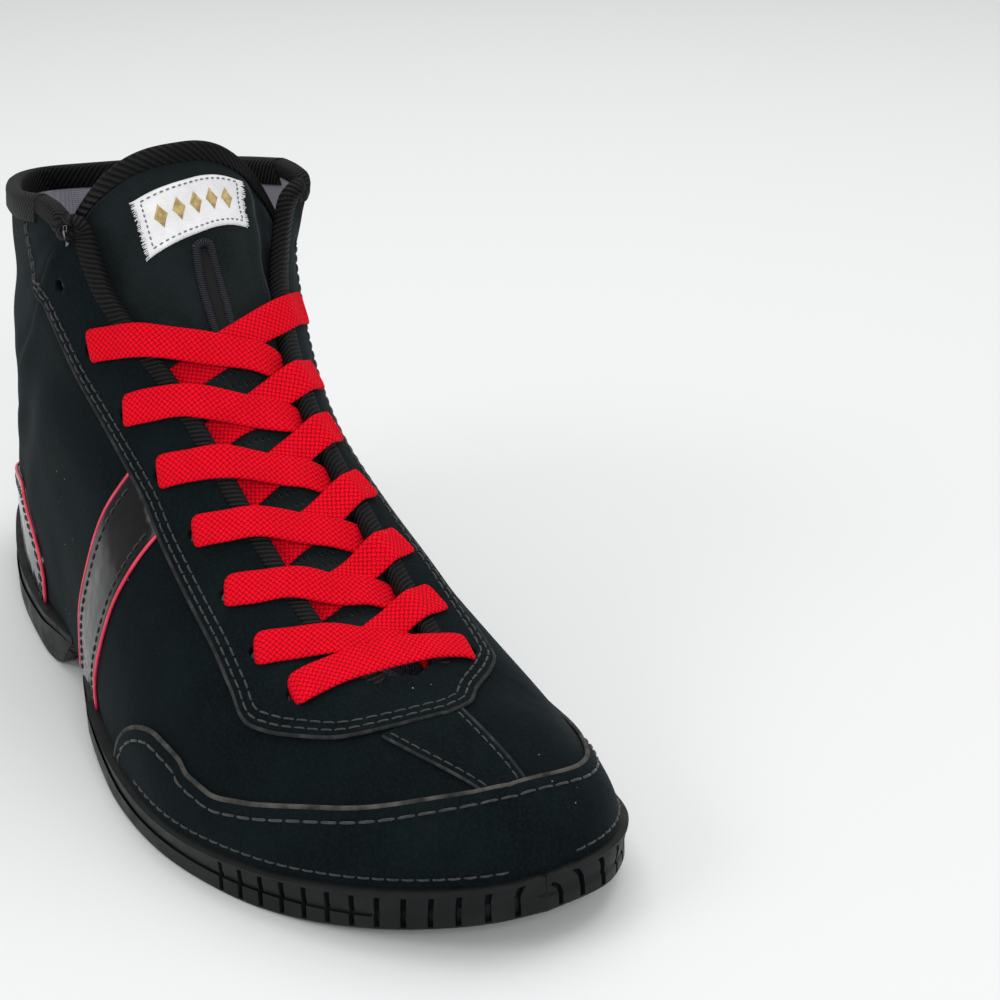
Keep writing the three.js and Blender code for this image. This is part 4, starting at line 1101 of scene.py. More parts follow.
def tongue_tape():
    """Folded tape over the tongue's top edge."""
    w = np.linspace(-1, 1, 150)
    row_length = 7.9
    profile = [(5.6, 0.1), (5.6, 0.55), (5.2, 0.8), (3.0, 0.85), (0.8, 0.85), (0.1, 0.65), (-0.35, 0.2)]
    top = [tongue_face(TONGUE_END - d / row_length + 0 * w, w, np.full(w.shape, h)) for d, h in profile]
    thick = np.sqrt(1 - 0.8 * w * w)
    under = [tongue_point(TONGUE_END - d / row_length + 0 * w, w, -TONGUE / 2 * thick - h)
             for d, h in [(-0.4, -0.9), (-0.35, 0.1), (0.2, 0.6), (3.0, 0.75), (5.6, 0.6)]]
    points = np.stack(top + under, 1)
    count = points.shape[1]
    s = walked(points[:, 3])
    around = np.append(walked(points[len(w) // 2]), TONGUE_TAPE_ROUND)
    uv = np.concatenate([strip_uv(s, around), np.zeros((2 * count, 2))])
    faces = grid_faces(len(points), count, close_columns=True).tolist() + ring_ends(len(points), count)
    make("tongue_tape", points.reshape(-1, 3), faces, COLLAR_TAPE, uv=uv, smooth=70)


tongue_tape()


# Lace keeper: a satin-stitched rim on the tongue, with painted shade for the slot inside it
KEEPER = {"low": 5.3, "high": 7.38, "w": -0.08, "half": 2.6, "radius": 1.1}


def keeper():
    size = np.array([14.0, 29.0])
    length = (KEEPER["high"] - KEEPER["low"]) * size[0] / 2
    centre = (KEEPER["high"] + KEEPER["low"]) / 2
    a = np.linspace(0, 2 * np.pi, 120, endpoint=False)
    reach = length - KEEPER["half"]
    x = np.clip(np.cos(a) * (length + 3), -reach, reach) + np.cos(a) * KEEPER["half"]
    y = np.sin(a) * KEEPER["half"]
    row, w = centre + x / size[0], KEEPER["w"] + y / size[1] + (x / size[0]) * 0.03
    centre_line = tongue_face(row, w, np.full(row.shape, 0.45))
    normal = tongue_out(row, w)
    along = unit(np.roll(centre_line, -1, axis=0) - np.roll(centre_line, 1, axis=0))
    across = unit(np.cross(normal, along))
    sides = 10
    b = np.linspace(0, 2 * np.pi, sides, endpoint=False)
    ring = across[:, None] * np.cos(b)[None, :, None] + normal[:, None] * (np.sin(b) * 0.8)[None, :, None]
    points = (centre_line[:, None] + ring * KEEPER["radius"]).reshape(-1, 3)
    i = np.arange(120)[:, None]
    j = np.arange(sides)[None, :]
    k, m = (j + 1) % sides, (i + 1) % 120
    faces = np.stack([i * sides + j, i * sides + k, m * sides + k, m * sides + j], -1).reshape(-1, 4)
    s = walked(centre_line)
    s = np.append(s, s[-1] + np.linalg.norm(centre_line[0] - centre_line[-1]))
    uv = strip_uv(s, np.arange(sides + 1) * 0.6)
    make("keeper_rim", points, faces.tolist(), KEEPER_THREAD, uv=uv, smooth=180)
    # A near-black sheet sunk inside the rim: painted shade where the slot goes into the tongue
    row, w = centre + x * 0.9 / size[0], KEEPER["w"] + y * 0.7 / size[1] + (x / size[0]) * 0.03
    inner = tongue_face(row, w, np.full(row.shape, 0.22))
    base = tongue_face(row, w, np.full(row.shape, -0.6))
    faces = [list(range(120)), list(range(120, 240))[::-1]]
    faces += [[a, (a + 1) % 120, 120 + (a + 1) % 120, 120 + a] for a in range(120)]
    make("keeper_slot", np.concatenate([inner, base]), faces, SLOT_SHADE, smooth=60)


KEEPER_THREAD = tape("keeper_thread", 0.55, 0.12, (0.004, 0.005, 0.007), (0.045, 0.050, 0.060), 0.25)
# Near black: painted shade for the keeper's slot
SLOT_SHADE = Look("slot_painted_shade", (0.0012, 0.0012, 0.0015), 0.95).material
keeper()


# Label
LABEL = {"low": 7.58, "high": 8.76, "left": -0.49, "right": 0.46}


def label_place(a, b, height):
    """Point on the label: a from its lower to its upper edge, b from its lateral to its medial end."""
    a, b = np.broadcast_arrays(np.asarray(a, float), np.asarray(b, float))
    row = LABEL["low"] + (LABEL["high"] - LABEL["low"]) * a + 0.34 * (b - 0.5)
    w = LABEL["left"] + (LABEL["right"] - LABEL["left"]) * b
    return tongue_face(row, w, 0.32 + height + 0.10 * np.sin(a * 5 + b * 9) * (0.3 + b * (1 - b)))


def rods(starts, ends, out, radius, bow=0.5, sides=6, steps=5):
    """Many short threads from starts to ends, bowed outward, as one (points, faces)."""
    u = np.linspace(0, 1, steps)
    p = starts[:, None] * (1 - u)[None, :, None] + ends[:, None] * u[None, :, None]
    p = p + out[:, None] * ((np.sin(np.pi * u) ** 0.6 - 0.5) * radius * 2 * bow)[None, :, None]
    return threads(p, out[:, None], radius, sides, capped=True)


def label():
    a, b = np.meshgrid(np.linspace(0, 1, 40), np.linspace(0, 1, 60), indexing="ij")
    border = np.minimum(np.minimum(a, 1 - a) * 18, np.minimum(b, 1 - b) * 34)
    hem = np.clip(border / 0.5, 0, 1) ** 0.5 * 0.42 + 0.14 * np.exp(-((border - 1.2) / 0.5) ** 2)
    top = label_place(a, b, hem)
    low = label_place(a, b, -0.25)
    points = np.concatenate([top.reshape(-1, 3), low.reshape(-1, 3)])
    piece = make("tongue_label_satin", points, sheet_faces(*a.shape), SATIN, smooth=50)
    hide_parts("tongue_label")

    rng = np.random.default_rng(4)
    out_of = lambda p_a, p_b: unit(label_place(p_a, p_b, 1.0) - label_place(p_a, p_b, 0.0))
    # Dark stitch dots inside the border
    spots = [(a, b) for a in (0.09, 0.91) for b in np.linspace(0.06, 0.94, 17)]
    spots += [(a, b) for b in (0.045, 0.955) for a in np.linspace(0.16, 0.84, 8)]
    spots = np.array(spots)
    turn = np.where((spots[:, 0] < 0.1) | (spots[:, 0] > 0.9), 1.0, 0.0)
    start = label_place(spots[:, 0] - 0.022 * (1 - turn), spots[:, 1] - 0.012 * turn, 0.47)
    end = label_place(spots[:, 0] + 0.022 * (1 - turn), spots[:, 1] + 0.012 * turn, 0.47)
    points, faces = rods(start, end, out_of(spots[:, 0], spots[:, 1]), 0.22)
    make("label_stitches", points, faces, DOT_THREAD, smooth=180)
    # Frayed woven ends
    a = np.concatenate([np.linspace(0.01, 0.99, 70), np.linspace(0.01, 0.99, 70)])
    b = np.concatenate([np.zeros(70), np.ones(70)])
    way = np.where(b < 0.5, -1.0, 1.0)
    length = rng.uniform(0.006, 0.034, 140)
    start = label_place(a, b - way * 0.01, 0.10)
    end = label_place(a + rng.uniform(-0.02, 0.02, 140), b + way * length, rng.uniform(-0.2, 0.3, 140))
    points, faces = rods(start, end, out_of(a, b), 0.11, bow=0.2, sides=5)
    make("label_fringe", points, faces, SATIN, smooth=180)
    # Row of small embroidered diamonds
    starts, ends, outs = [], [], []
    for centre in np.linspace(0.17, 0.83, 5):
        for k in np.linspace(-1, 1, 15):
            reach = 0.20 * (1 - abs(k)) + 0.012
            at = centre + k * 0.052
            starts.append((0.5 - reach, at + 0.004))
            ends.append((0.5 + reach, at - 0.004))
            outs.append((0.5, at))
    starts, ends, outs = (np.array(x) for x in (starts, ends, outs))
    start, end = label_place(starts[:, 0], starts[:, 1], 0.46), label_place(ends[:, 0], ends[:, 1], 0.46)
    points, faces = rods(start, end, out_of(outs[:, 0], outs[:, 1]), 0.17, bow=0.9)
    make("label_diamonds", points, faces, GOLD_THREAD, smooth=180)


label()


# Seams
def seam_pairs(side):
    """The seam below the holes: round the bib, then along the eyestay."""
    corner = (6.8, 0.602 if side < 0 else 0.658)
    return BIB_EDGE[side][:-1] + [corner] + [p for p in EYESTAY_SEAM[side] if p[0] > 7]


guard_line = over_ridge(trace(GUARD_TOP[LATERAL], LATERAL, 170), trace(GUARD_TOP[MEDIAL], MEDIAL, 190))
seam_line = over_ridge(trace(seam_pairs(LATERAL), LATERAL, 330), trace(seam_pairs(MEDIAL), MEDIAL, 330))


def bead(name, line, height, radius, material, flat=1.0):
    p, n = surface_line(line, height)
    points, faces = tube(p, n, radius, flat=flat)
    return make(name, points, faces, material, smooth=180)


def sew(name, lines, height, material, slot="suede", **sizes):
    """Stitches along several lines, as one mesh."""
    parts = []
    for line in lines:
        parts += stitches(*surface_line(line, height), **sizes)
    points, faces = join(parts)
    return make(name, points, faces, material, smooth=180)


bead("guard_raw_edge", guard_line, 0.75, 0.62, RAW_EDGE, flat=0.8)
bead("seam_raw_edge", seam_line, 0.75, 0.5, DARK_EDGE, flat=0.8)
sew("guard_stitches", [inset(guard_line, -3.0)], OVERLAY_TOP, GREY_THREAD, length=3.6, gap=0.9, radius=0.30)
sew("seam_stitches", [inset(seam_line, 1.7), inset(seam_line, 3.6)], OVERLAY_TOP - 0.05, GREY_THREAD,
    length=2.5, gap=0.7, radius=0.24)


# Rubber soles
FOREFOOT_RIM = {
    LATERAL: [(124, 12.0), (140, 11.8), (152, 11.4), (168, 10.4), (188, 9.6), (205, 9.4), (225, 10.2),
              (245, 12.2), (260, 14.6), (271, 17.2)],
    MEDIAL: [(124, 12.2), (140, 13.4), (152, 14.4), (168, 14.6), (188, 12.2), (205, 10.2), (225, 10.6),
             (245, 12.4), (260, 14.6), (271, 17.2)],
}
HEEL_RIM = {s: [(0, 17.5), (12, 15.5), (40, 13.2), (106, 13.6)] for s in SIDES}
FEATHER_TOP = 13.0
FOREFOOT_END, HEEL_START, HEEL_CLOSE = 9.3, 9.9, 15.6
SLOT_WIDTH, SLOT_DEPTH, SLOT_PITCH = 1.1, 1.6, 5.8
SLOTS_FROM = {LATERAL: 214, MEDIAL: 203}


def forefoot_tread(t):
    x = section(t)["bx"]
    spring = np.maximum((x - 222) / (270 - 222), 0)
    arch = np.maximum(168 - x, 0)
    return 8 * spring ** 1.8 + 0.003 * arch ** 2 + 0.035 * arch


def heel_tread(t):
    x = section(t)["bx"]
    return 0.05 * np.maximum(x - 93, 0) ** 2 + 0.012 * np.maximum(10 - x, 0) ** 2


def rim_v(rim, t, side):
    """v where the upper reaches the rubber's top edge."""
    v = np.linspace(0, 1, 201)
    p = last_point(t[:, None], v[None, :], side)
    over = p[..., 2] - curve(rim[side], p[..., 0])
    found = (over > 0).any(1)
    k = np.clip((over > 0).argmax(1), 1, 200)
    i = np.arange(len(t))
    f = np.clip(-over[i, k - 1] / np.maximum(over[i, k] - over[i, k - 1], 1e-6), 0, 1)
    return np.where(over[:, 0] > 0, 0.0, np.where(found, v[k - 1] + f * (v[1] - v[0]), 1.0))


THIN_END = 0.25              # thickness that the rubber runs out to under the arch
SUNK = -0.3                  # the rubber's inside, sunk into the suede


def sole_half(t, side, tread, rim, slot, groove, fade):
    """Half profiles of a sole at sections t, from the tread's middle by the wall to the seat's middle."""
    foot = last_point(t, 0.0, side)
    near = np.maximum(t, 0.05)
    d = last_point(near + 0.05, 0.0, side) - last_point(near - 0.05, 0.0, side)
    out = unit(np.stack([d[:, 1], -d[:, 0], 0 * t], -1) * side)
    out[t <= 0] = [1, 0, 0]
    z = tread(t) + (foot[:, 2] - 0.6 - tread(t)) * (1 - fade) ** 3
    feather = np.maximum(np.minimum(foot[:, 2], FEATHER_TOP) - 0.5, z)
    top = rim_v(rim, t, side)
    lip = np.clip((t - 0.45) / 0.2, 0, 1)
    wide = THIN_END + (GAP + RIM - THIN_END) * fade ** 0.6
    ledge = THIN_END + (LEDGE - THIN_END) * fade ** 0.6

    def at(reach, height):
        p = foot + out * np.broadcast_to(reach, t.shape)[:, None]
        p[:, 2] = height
        return p

    def wrap(share, offset):
        v = np.minimum(top * share, 1.0)
        return offset_point(t, v, np.full(len(t), side), offset * np.ones(len(t)))

    centre = last_point(t, CENTRE_LINE, side)
    centre[:, 2] = z
    inner = at(ledge - 1.6 * fade, z)
    deep = SLOT_DEPTH * slot
    low = z + np.minimum(1.0, (feather - z) * 0.3)
    rings = [centre, centre * 0.65 + inner * 0.35, centre * 0.3 + inner * 0.7, inner,
             at(ledge - 0.85 * fade, z + 0.12 * fade), at(ledge - 0.25 * fade, z + 0.4 * fade),
             at(ledge, z + np.minimum(0.9, (feather - z) * 0.25)),
             at(ledge, low), at(ledge - deep, low + 0.06), at(ledge - deep, (low + feather) / 2),
             at(ledge - deep, feather)]
    raised = lip * fade
    rings += [wrap(share, wide - deep) for share in (0.12, 0.35, 0.58, 0.76)]
    rings += [wrap(0.775, wide), wrap(0.79, wide - 0.5 * groove), wrap(0.81, wide), wrap(0.84, wide + 0.05),
              wrap(0.87, wide + 0.40 * raised), wrap(0.95, wide + 0.45 * raised), wrap(0.99, wide + 0.1 * raised),
              wrap(1.02, wide * 0.7), wrap(1.05, wide * 0.35)]
    rings += [wrap(share, SUNK) for share in (1.06, 0.5, 0.0)]
    everywhere = np.ones(len(t))
    rings += [offset_point(t, v * everywhere, side * everywhere, SUNK * everywhere) for v in (-0.5, CENTRE_LINE)]
    return np.stack(rings, 1)


def build_sole(name, rows, tread, rim, slots, groove, fade, node, ends):
    halves = [sole_half(rows, s, tread, rim, slots[s], groove, fade) for s in SIDES]
    per = halves[0].shape[1]
    ring = np.concatenate([halves[0], halves[1][:, ::-1]], 1)
    count = ring.shape[1]
    faces = grid_faces(len(rows), count, close_columns=True).tolist()
    tread_rows = [j for j in range(count) if j < 3 or j >= count - 4]
    index = [1 if f % count in tread_rows else 0 for f in range(len(faces))]
    for end, kind in enumerate(ends):
        start = 0 if end == 0 else (len(rows) - 1) * count
        if kind == "zip":
            new = [[start + j, start + j + 1, start + count - 2 - j, start + count - 1 - j] for j in range(per - 1)]
        else:
            new = [list(range(start, start + count))]
        faces += new
        index += [0] * len(new)
    piece = make(name, ring.reshape(-1, 3), faces, RUBBER, smooth=50, recalc=False)
    piece.data.materials.append(TREAD)
    for polygon, kind in zip(piece.data.polygons, index):
        polygon.material_index = kind
    fix_normals(piece)
    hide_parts(node)
    return piece


def slot_rows():
    """Sections where the slots' edges lie, and for each side the middle of each slot along the feather edge."""
    t = np.arange(0.01, 7.5, 0.002)
    rows, walks = [], {}
    for s in SIDES:
        p = last_point(t, 0.0, s)
        run = walked(p[:, :2])
        begin = SLOT_PITCH if s < 0 else SLOT_PITCH / 2
        limit = np.interp(-SLOTS_FROM[s], -section(t)["bx"], run)
        middles = np.arange(begin, limit, SLOT_PITCH)
        walks[s] = (t, run, middles)
        for shift in (-0.64, -0.52, 0.52, 0.64):
            rows.append(np.interp(middles + shift, run, t))
    return np.concatenate(rows), walks


edge_rows, walks = slot_rows()
sole_rows = np.concatenate([np.linspace(0, 0.9, 24), np.linspace(0.9, FOREFOOT_END, 190), edge_rows])
sole_rows = np.unique(np.round(sole_rows, 5))
slot_mask = {}
for s in SIDES:
    walk_t, run, middles = walks[s]
    along = np.interp(sole_rows, walk_t, run)
    slot_mask[s] = (np.abs(along[:, None] - middles[None, :]).min(1) < 0.58).astype(float)
groove = np.clip((216 - section(sole_rows)["bx"]) / 6, 0, 1)
forefoot_fade = np.clip((FOREFOOT_END - sole_rows) / 0.8, 0, 1)
build_sole("forefoot_rubber", sole_rows, forefoot_tread, FOREFOOT_RIM, slot_mask, groove, forefoot_fade,
           "forefoot_outsole", ("zip", "flat"))
heel_rows = np.linspace(HEEL_START, HEEL_CLOSE, 110)
none = {s: np.zeros(len(heel_rows)) for s in SIDES}
heel_fade = np.clip((heel_rows - HEEL_START) / 0.8, 0, 1)
build_sole("heel_rubber", heel_rows, heel_tread, HEEL_RIM, none, np.zeros(len(heel_rows)) + 0.5, heel_fade,
           "heel_outsole", ("flat", "zip"))


# Raised hexagon outlines on the rubber wing at the ball
HEXAGON_SPAN, HEXAGON_HEIGHTS = (150, 196), (6.6, 10.6)
HEXAGON_PITCH, HEXAGON_RADIUS = 4.6, 1.55


def hexagons():
    parts = []
    t_of = np.linspace(4, 9.3, 400)
    v = np.linspace(0, 0.5, 120)
    for row_number, height in enumerate(HEXAGON_HEIGHTS):
        for x in np.arange(*HEXAGON_SPAN, HEXAGON_PITCH) + HEXAGON_PITCH / 2 * (row_number % 2):
            t = float(np.interp(-x, -section(t_of)["bx"], t_of))
            p = last_point(np.full(len(v), t), v, MEDIAL)
            v0 = float(np.interp(height, p[:, 2], v))
            place = (np.array([t]), np.array([v0]), np.array([MEDIAL]))
            normal = unit(outward(*place))[0]
            centre = offset_point(*place, np.array([GAP + RIM]))[0]
            along = unit(np.cross(normal, [0, 0, 1.0]))
            up = np.cross(along, normal)
            a = np.linspace(0, 2 * np.pi, 6, endpoint=False) + math.pi / 6
            corners = centre + (along * np.cos(a)[:, None] + up * np.sin(a)[:, None]) * HEXAGON_RADIUS
            fine = resample(np.concatenate([corners, corners[:2]]), 0.5)
            parts.append(tube(fine, np.tile(normal, (len(fine), 1)), 0.24, sides=6, flat=0.9))
    points, faces = join(parts)
    make("ball_hexagons", points, faces, RUBBER, smooth=180)


hexagons()


def rubber_line(rim, t, side, lift):
    """Line on the upper that lies lift mm above the rubber's top edge."""
    raised = {side: [(x, z + lift) for x, z in rim[side]]}
    return t, rim_v(raised, t, side), np.full(len(t), side)


low_t = {LATERAL: np.linspace(0.9, 6.9, 240), MEDIAL: np.linspace(0.9, 7.8, 260)}
sew("guard_low_stitches", [rubber_line(FOREFOOT_RIM, low_t[s], s, 2.2) for s in SIDES], OVERLAY_TOP, GREY_THREAD,
    length=2.6, gap=0.8, radius=0.26)

# Vamp strip seams
for s, word in NAMED_SIDES:
    strip_line = trace([(2.72, curve(STRIP[s], 2.72)), (4.35, curve(STRIP[s], 4.35))], s, 60)
    bead(f"vamp_strip_edge_{word}", strip_line, 0.45, 0.42, DARK_EDGE, flat=0.8)
    sew(f"vamp_strip_stitches_{word}", [inset(strip_line, 1.5 * s)], 0.5, GREY_THREAD, length=2.2, gap=0.7,
        radius=0.22)

# Saddle bands: piping, stitches
for s, word in NAMED_SIDES:
    t0, t1 = BAND[s]
    v_low = 0.02
    for k, t in enumerate((t0, t1)):
        line = trace([(t, v_low), (t, 0.3), (t, float(curve(EYESTAY_SEAM[s], t)))], s, 70)
        bead(f"saddle_band_piping_{word}_{k}", line, 0.6, 0.45, RED_PIPING)
    lines = [trace([(t, v_low), (t, 0.3), (t, float(curve(EYESTAY_SEAM[s], t)) - 0.01)], s, 70)
             for t in (t0 + 0.13, t1 - 0.13)]
    sew(f"saddle_band_stitches_{word}", lines, 0.85, THREAD, length=2.2, gap=0.7, radius=0.24, slot="patent")

# Heel counter: piping, stitches
counter_pairs = [(t, max(v, 0.0)) for t, v in COUNTER_TOP if t < 16.9]
counter_line = over_ridge(trace(counter_pairs[::-1], LATERAL, 140), trace(counter_pairs[::-1], MEDIAL, 140))
bead("heel_counter_piping", counter_line, 0.85, 0.48, RED_PIPING)
sew("heel_counter_stitches", [inset(counter_line, 2.4), inset(counter_line, 4.0)], 1.15, THREAD,
    length=2.4, gap=0.8, radius=0.25, slot="patent")

# Back seam of the shaft
back_lines = [edge_line([(17.0, 0.035), (20.9, 0.035)], 17.05, 20.6, s, 60) for s in SIDES]
sew("back_seam_stitches", back_lines, 0.0, GREY_THREAD, length=2.5, gap=0.8, radius=0.24)


# Laces
def spline(stations, count):
    """Smooth curve through stations, with even spacing."""
    p = np.array(stations, float)
    s = np.concatenate([[0], np.cumsum(np.sqrt(np.linalg.norm(np.diff(p, axis=0), axis=-1)))])
    fine = []
    tangent = np.gradient(p, s, axis=0)
    for i in range(len(p) - 1):
        h = s[i + 1] - s[i]
        u = np.linspace(0, 1, 30, endpoint=i == len(p) - 2)[:, None]
        fine.append((1 + 2 * u) * (1 - u) ** 2 * p[i] + u * (1 - u) ** 2 * h * tangent[i]
                    + u * u * (3 - 2 * u) * p[i + 1] + u * u * (u - 1) * h * tangent[i + 1])
    fine = np.concatenate(fine)
    d = walked(fine)
    u = np.linspace(0, d[-1], count)
    return np.stack([np.interp(u, d, fine[:, k]) for k in range(3)], -1), u / d[-1]


def lace(name, stations, taper, seed, node=None):
    """Flat braid through (point, normal) stations. taper has the lengths in mm that narrow at its two ends."""
    points, share = spline([s[0] for s in stations], 150)
    station_share = walked([s[0] for s in stations])
    station_share /= station_share[-1]
    normals = unit(np.stack([np.interp(share, station_share, [s[1][k] for s in stations]) for k in range(3)], -1))
    along = unit(np.gradient(points, axis=0))
    wanted = np.cross(normals, along)
    across = np.zeros_like(points)
    middle = len(points) // 2
    across[middle] = unit(wanted[middle])
    for order in (range(middle + 1, len(points)), range(middle - 1, -1, -1)):
        for i in order:
            before = across[i - 1] if i > middle else across[i + 1]
            carried = unit(before - along[i] * (before @ along[i]))
            weight = (1 - abs(normals[i] @ along[i])) ** 2 * 0.5
            mixed = carried * (1 - weight) + unit(wanted[i]) * weight
            across[i] = unit(mixed - along[i] * (mixed @ along[i]))
    up = np.cross(along, across)
    roll = 0.05 * np.sin(share * 7 + seed) + 0.03 * np.sin(share * 17 + seed * 2.3)
    across, up = (across * np.cos(roll)[:, None] + up * np.sin(roll)[:, None],
                  up * np.cos(roll)[:, None] - across * np.sin(roll)[:, None])
    length = np.linalg.norm(np.diff(points, axis=0), axis=-1).sum()
    ease = lambda x: x * x * (3 - 2 * x)
    narrow = np.ones(len(points))
    for distance, reach in ((share * length, taper[0]), ((1 - share) * length, taper[1])):
        narrow *= 0.55 + 0.45 * ease(np.clip(distance / reach, 0, 1))
    width = narrow * (1 + 0.02 * np.sin(share * 23 + seed))
    thick = 1 + (1 - narrow) * 1.1
    half, thin = LACE_WIDTH / 2, LACE_THICK / 2
    profile = [(half * math.copysign(abs(math.cos(a)) ** 0.35, math.cos(a)),
                thin * math.copysign(abs(math.sin(a)) ** 0.8, math.sin(a)))
               for a in np.linspace(0, 2 * np.pi, 28, endpoint=False)]
    piece = sweep(points, across, up, profile, name, BRAID, scale=np.stack([width, thick], -1))
    if node:
        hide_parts(node)
    return piece


def flap(t, v, side, height):
    """Point and normal of a place above or below the flaps beside the throat."""
    place = (np.array([float(t)]), np.array([float(v)]), np.array([float(side)]))
    return on_upper(*place, height)[0], unit(outward(*place))[0]


def edge_on_way(level, place, side):
    """Section where the throat's edge crosses the plane through a place."""
    t = np.linspace(5.12, 13.5, 400)
    p = on_upper(t, throat_edge(t), np.full(400, side), np.zeros(400))
    return float(t[np.abs((p - place) @ level).argmin()])


def over_tongue(w, first, last, height):
    """Place on the tongue at w that lies on the straight way from one point to another."""
    rows = np.linspace(0, 9, 181)
    p = tongue_face(rows, np.full(181, float(w)), np.full(181, height))
    normal = tongue_out(rows, np.full(181, float(w)))
    level = np.cross(last - first, normal[np.abs(p - (first + last) / 2).sum(-1).argmin()])
    k = np.abs((p - first) @ unit(level)).argmin()
    return p[k], normal[k]


LACE_LIFT = EYESTAY_TOP + 0.25 + LACE_THICK / 2
UNDER = -WALL - 0.55 - LACE_THICK / 2
LACE_TAPERS = (7, 4.5)       # lengths that narrow under the flap and into the hole
for k in range(6):
    for side, word in NAMED_SIDES:
        t0, v0 = HOLES[-side][k]
        t1, v1 = HOLES[side][k + 1]
        level = 1.75 if side < 0 else 0.6
        hole0, hole1 = flap(t0, v0, -side, 0.0)[0], flap(t1, v1, side, 0.0)[0]
        middle_row = float(np.interp((t0 + t1) / 2, TONGUE_ROWS[:, 0], np.arange(TONGUE_END + 1)))
        level_out = tongue_out(np.array([middle_row]), np.array([0.0]))[0]
        way = unit(np.cross(hole1 - hole0, level_out))
        start_edge, end_edge = edge_on_way(way, hole0, -side), edge_on_way(way, hole0, side)
        v_edge, v_start = float(throat_edge(end_edge)), float(throat_edge(start_edge))
        leaving = flap(start_edge, v_start, -side, UNDER + 0.1)
        arriving = flap(end_edge, v_edge, side, LACE_LIFT + 0.6)
        stations = [
            flap(t0, v0, -side, -1.6), flap(t0 + 0.02, v0 + (v_start - v0) * 0.45, -side, UNDER), leaving,
            over_tongue(-side * 0.42, leaving[0], arriving[0], 0.15 + LACE_THICK * (0.5 + (level - 0.5) * 0.3)),
            over_tongue(-side * 0.12, leaving[0], arriving[0], 0.25 + LACE_THICK * level),
            over_tongue(side * 0.18, leaving[0], arriving[0], 0.35 + LACE_THICK * level), arriving,
            flap(end_edge * 0.5 + t1 * 0.5, v_edge * 0.5 + v1 * 0.5, side, LACE_LIFT + 0.15),
            flap(t1 - 0.02, v1 + 0.012, side, LACE_LIFT - 0.1),
            flap(t1, v1, side, -1.4),
        ]
        lace(f"lace_{k + 1}_{word}", stations, LACE_TAPERS, k * 2.1 + side, node=f"lace_cross_{k + 1}")
(tl, vl), (tm, vm) = HOLES[LATERAL][0], HOLES[MEDIAL][0]
lace("lace_bar_braid", [
    flap(tl, vl, LATERAL, -1.4), flap(tl - 0.01, vl + 0.015, LATERAL, LACE_LIFT),
    flap(5.45, 0.85, LATERAL, LACE_LIFT + 0.4), flap(5.38, 0.99, LATERAL, LACE_LIFT + 0.6), flap(5.35, 0.9, MEDIAL, LACE_LIFT + 0.4),
    flap(tm, vm + 0.015, MEDIAL, LACE_LIFT), flap(tm, vm, MEDIAL, -1.4)], (4.5, 4.5), 5.0, node="lace_bar")


# Footbed
FOOTBED_INSET = 4.5          # how far its edge stays inside the feather line


def build_insole():
    rows = np.linspace(1.5, 13.4, 90)
    s = section(rows)
    edge = -FOOTBED_INSET / ((s["footM"] + s["footL"]) / 2)
    share = np.linspace(0, 1, 14)
    t = np.repeat(rows[:, None], len(share), 1)
    grids = [(t, CENTRE_LINE + share * (edge[:, None] - CENTRE_LINE), side) for side in SIDES]
    piece = shell("insole_footbed", grids, -WALL - GAP - INSOLE, -WALL - GAP, LINING, edge=0)
    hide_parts("insole")


build_insole()

# Punch the holes
cutter_points, cutter_faces = join([pin(t, v, side, HOLE_RADIUS) for side in SIDES for t, v in HOLES[side]])
cutter = make("hole_cutter", cutter_points, cutter_faces, SUEDE, smooth=180)
for name in ("upper_suede", "eyestay_lateral_suede", "eyestay_medial_suede", "throat_bib_suede"):
    cut(bpy.data.objects[name], cutter)
bpy.data.objects.remove(cutter)


# Floor, light and camera
def staged_plane(name, size, material):
    mesh = bpy.data.meshes.new(name)
    mesh.from_pydata([(-size, -size, 0), (size, -size, 0), (size, size, 0), (-size, size, 0)], [], [(0, 1, 2, 3)])
    mesh.materials.append(material)
    plane = bpy.data.objects.new(name, mesh)
    bpy.context.scene.collection.objects.link(plane)


staged_plane("floor", 8.0, Look("paper_floor", (0.86, 0.865, 0.875), 0.85).material)


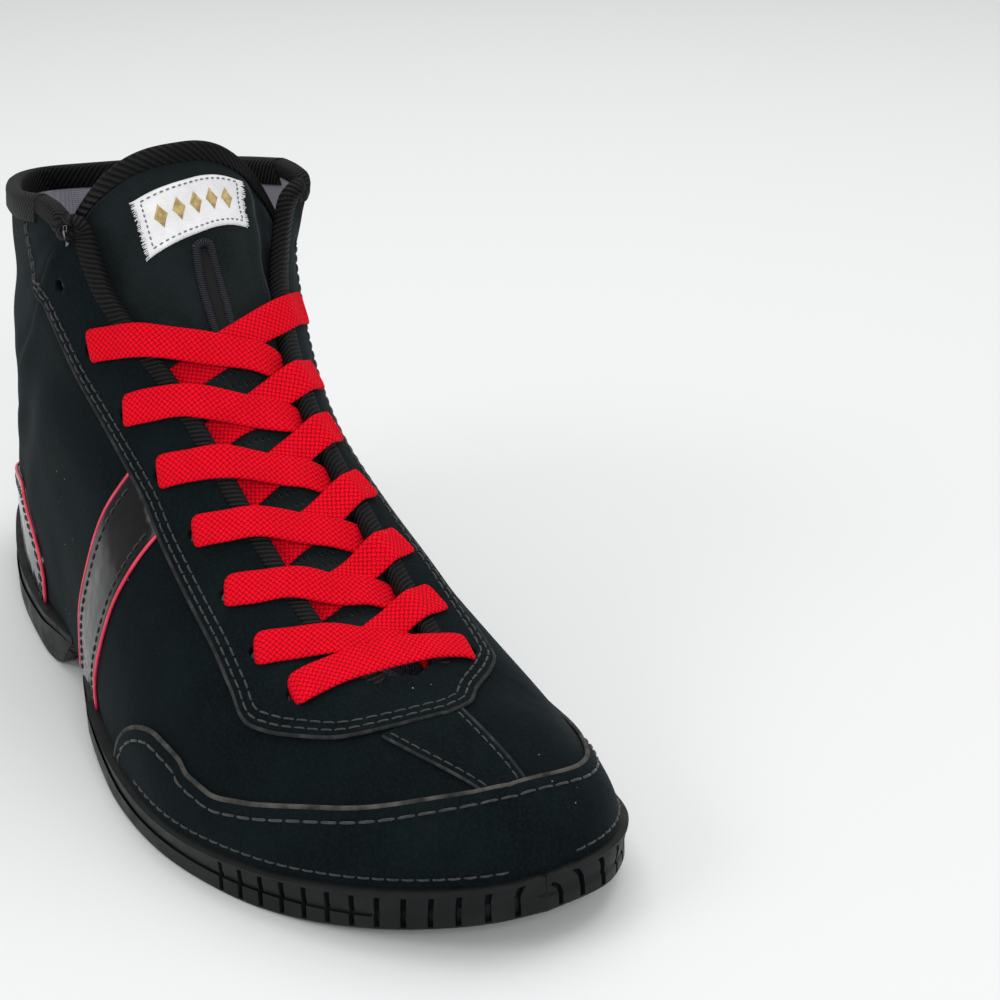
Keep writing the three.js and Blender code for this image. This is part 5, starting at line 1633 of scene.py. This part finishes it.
def area_light(name, place, target, size, power, color=(1, 1, 1)):
    data = bpy.data.lights.new(name, "AREA")
    data.shape = "RECTANGLE"
    data.size, data.size_y = size
    data.energy = power
    data.color = color
    lamp = bpy.data.objects.new(name, data)
    lamp.location = place
    lamp.rotation_euler = (Vector(target) - Vector(place)).to_track_quat("-Z", "Y").to_euler()
    bpy.context.scene.collection.objects.link(lamp)


area_light("light_top", (-0.30, 0.30, 1.15), (0.03, 0, 0.05), (1.3, 1.1), 7.4)
area_light("light_lateral", (-0.1, -1.1, 0.85), (0, 0, 0.05), (0.7, 0.4), 3)
area_light("light_front", (1.2, -0.25, 0.75), (0, 0, 0.08), (0.5, 0.4), 6.0)
world = bpy.data.worlds.new("studio")
world.use_nodes = True
world.node_tree.nodes["Background"].inputs["Color"].default_value = (0.99, 1.0, 0.985, 1)
world.node_tree.nodes["Background"].inputs["Strength"].default_value = 0.50
bpy.context.scene.world = world

CAMERA_PLACE = (610.0, -174.0, 270.0)
CAMERA_TURN = 62.0
CAMERA_HEIGHT = 23.34
CAMERA_ROLL = -1.6
CAMERA_LENS = 77.94
data = bpy.data.cameras.new("camera")
data.lens = CAMERA_LENS
data.sensor_width = 36
data.clip_start, data.clip_end = 0.05, 30
camera = bpy.data.objects.new("camera", data)
az, el, roll = (math.radians(a) for a in (CAMERA_TURN, CAMERA_HEIGHT, CAMERA_ROLL))
back = np.array([math.sin(az) * math.cos(el), -math.cos(az) * math.cos(el), math.sin(el)])
right = unit(np.cross([0, 0, 1.0], back))
above = np.cross(back, right)
r2 = math.cos(roll) * right + math.sin(roll) * above
u2 = math.cos(roll) * above - math.sin(roll) * right
place = (np.array(CAMERA_PLACE) + SHIFT) / 1000
camera.matrix_world = Matrix([[r2[i], u2[i], back[i], place[i]] for i in range(3)] + [[0, 0, 0, 1]])
bpy.context.scene.collection.objects.link(camera)
bpy.context.scene.camera = camera
bpy.context.scene.view_settings.view_transform = "Standard"
bpy.context.scene.view_settings.look = "None"
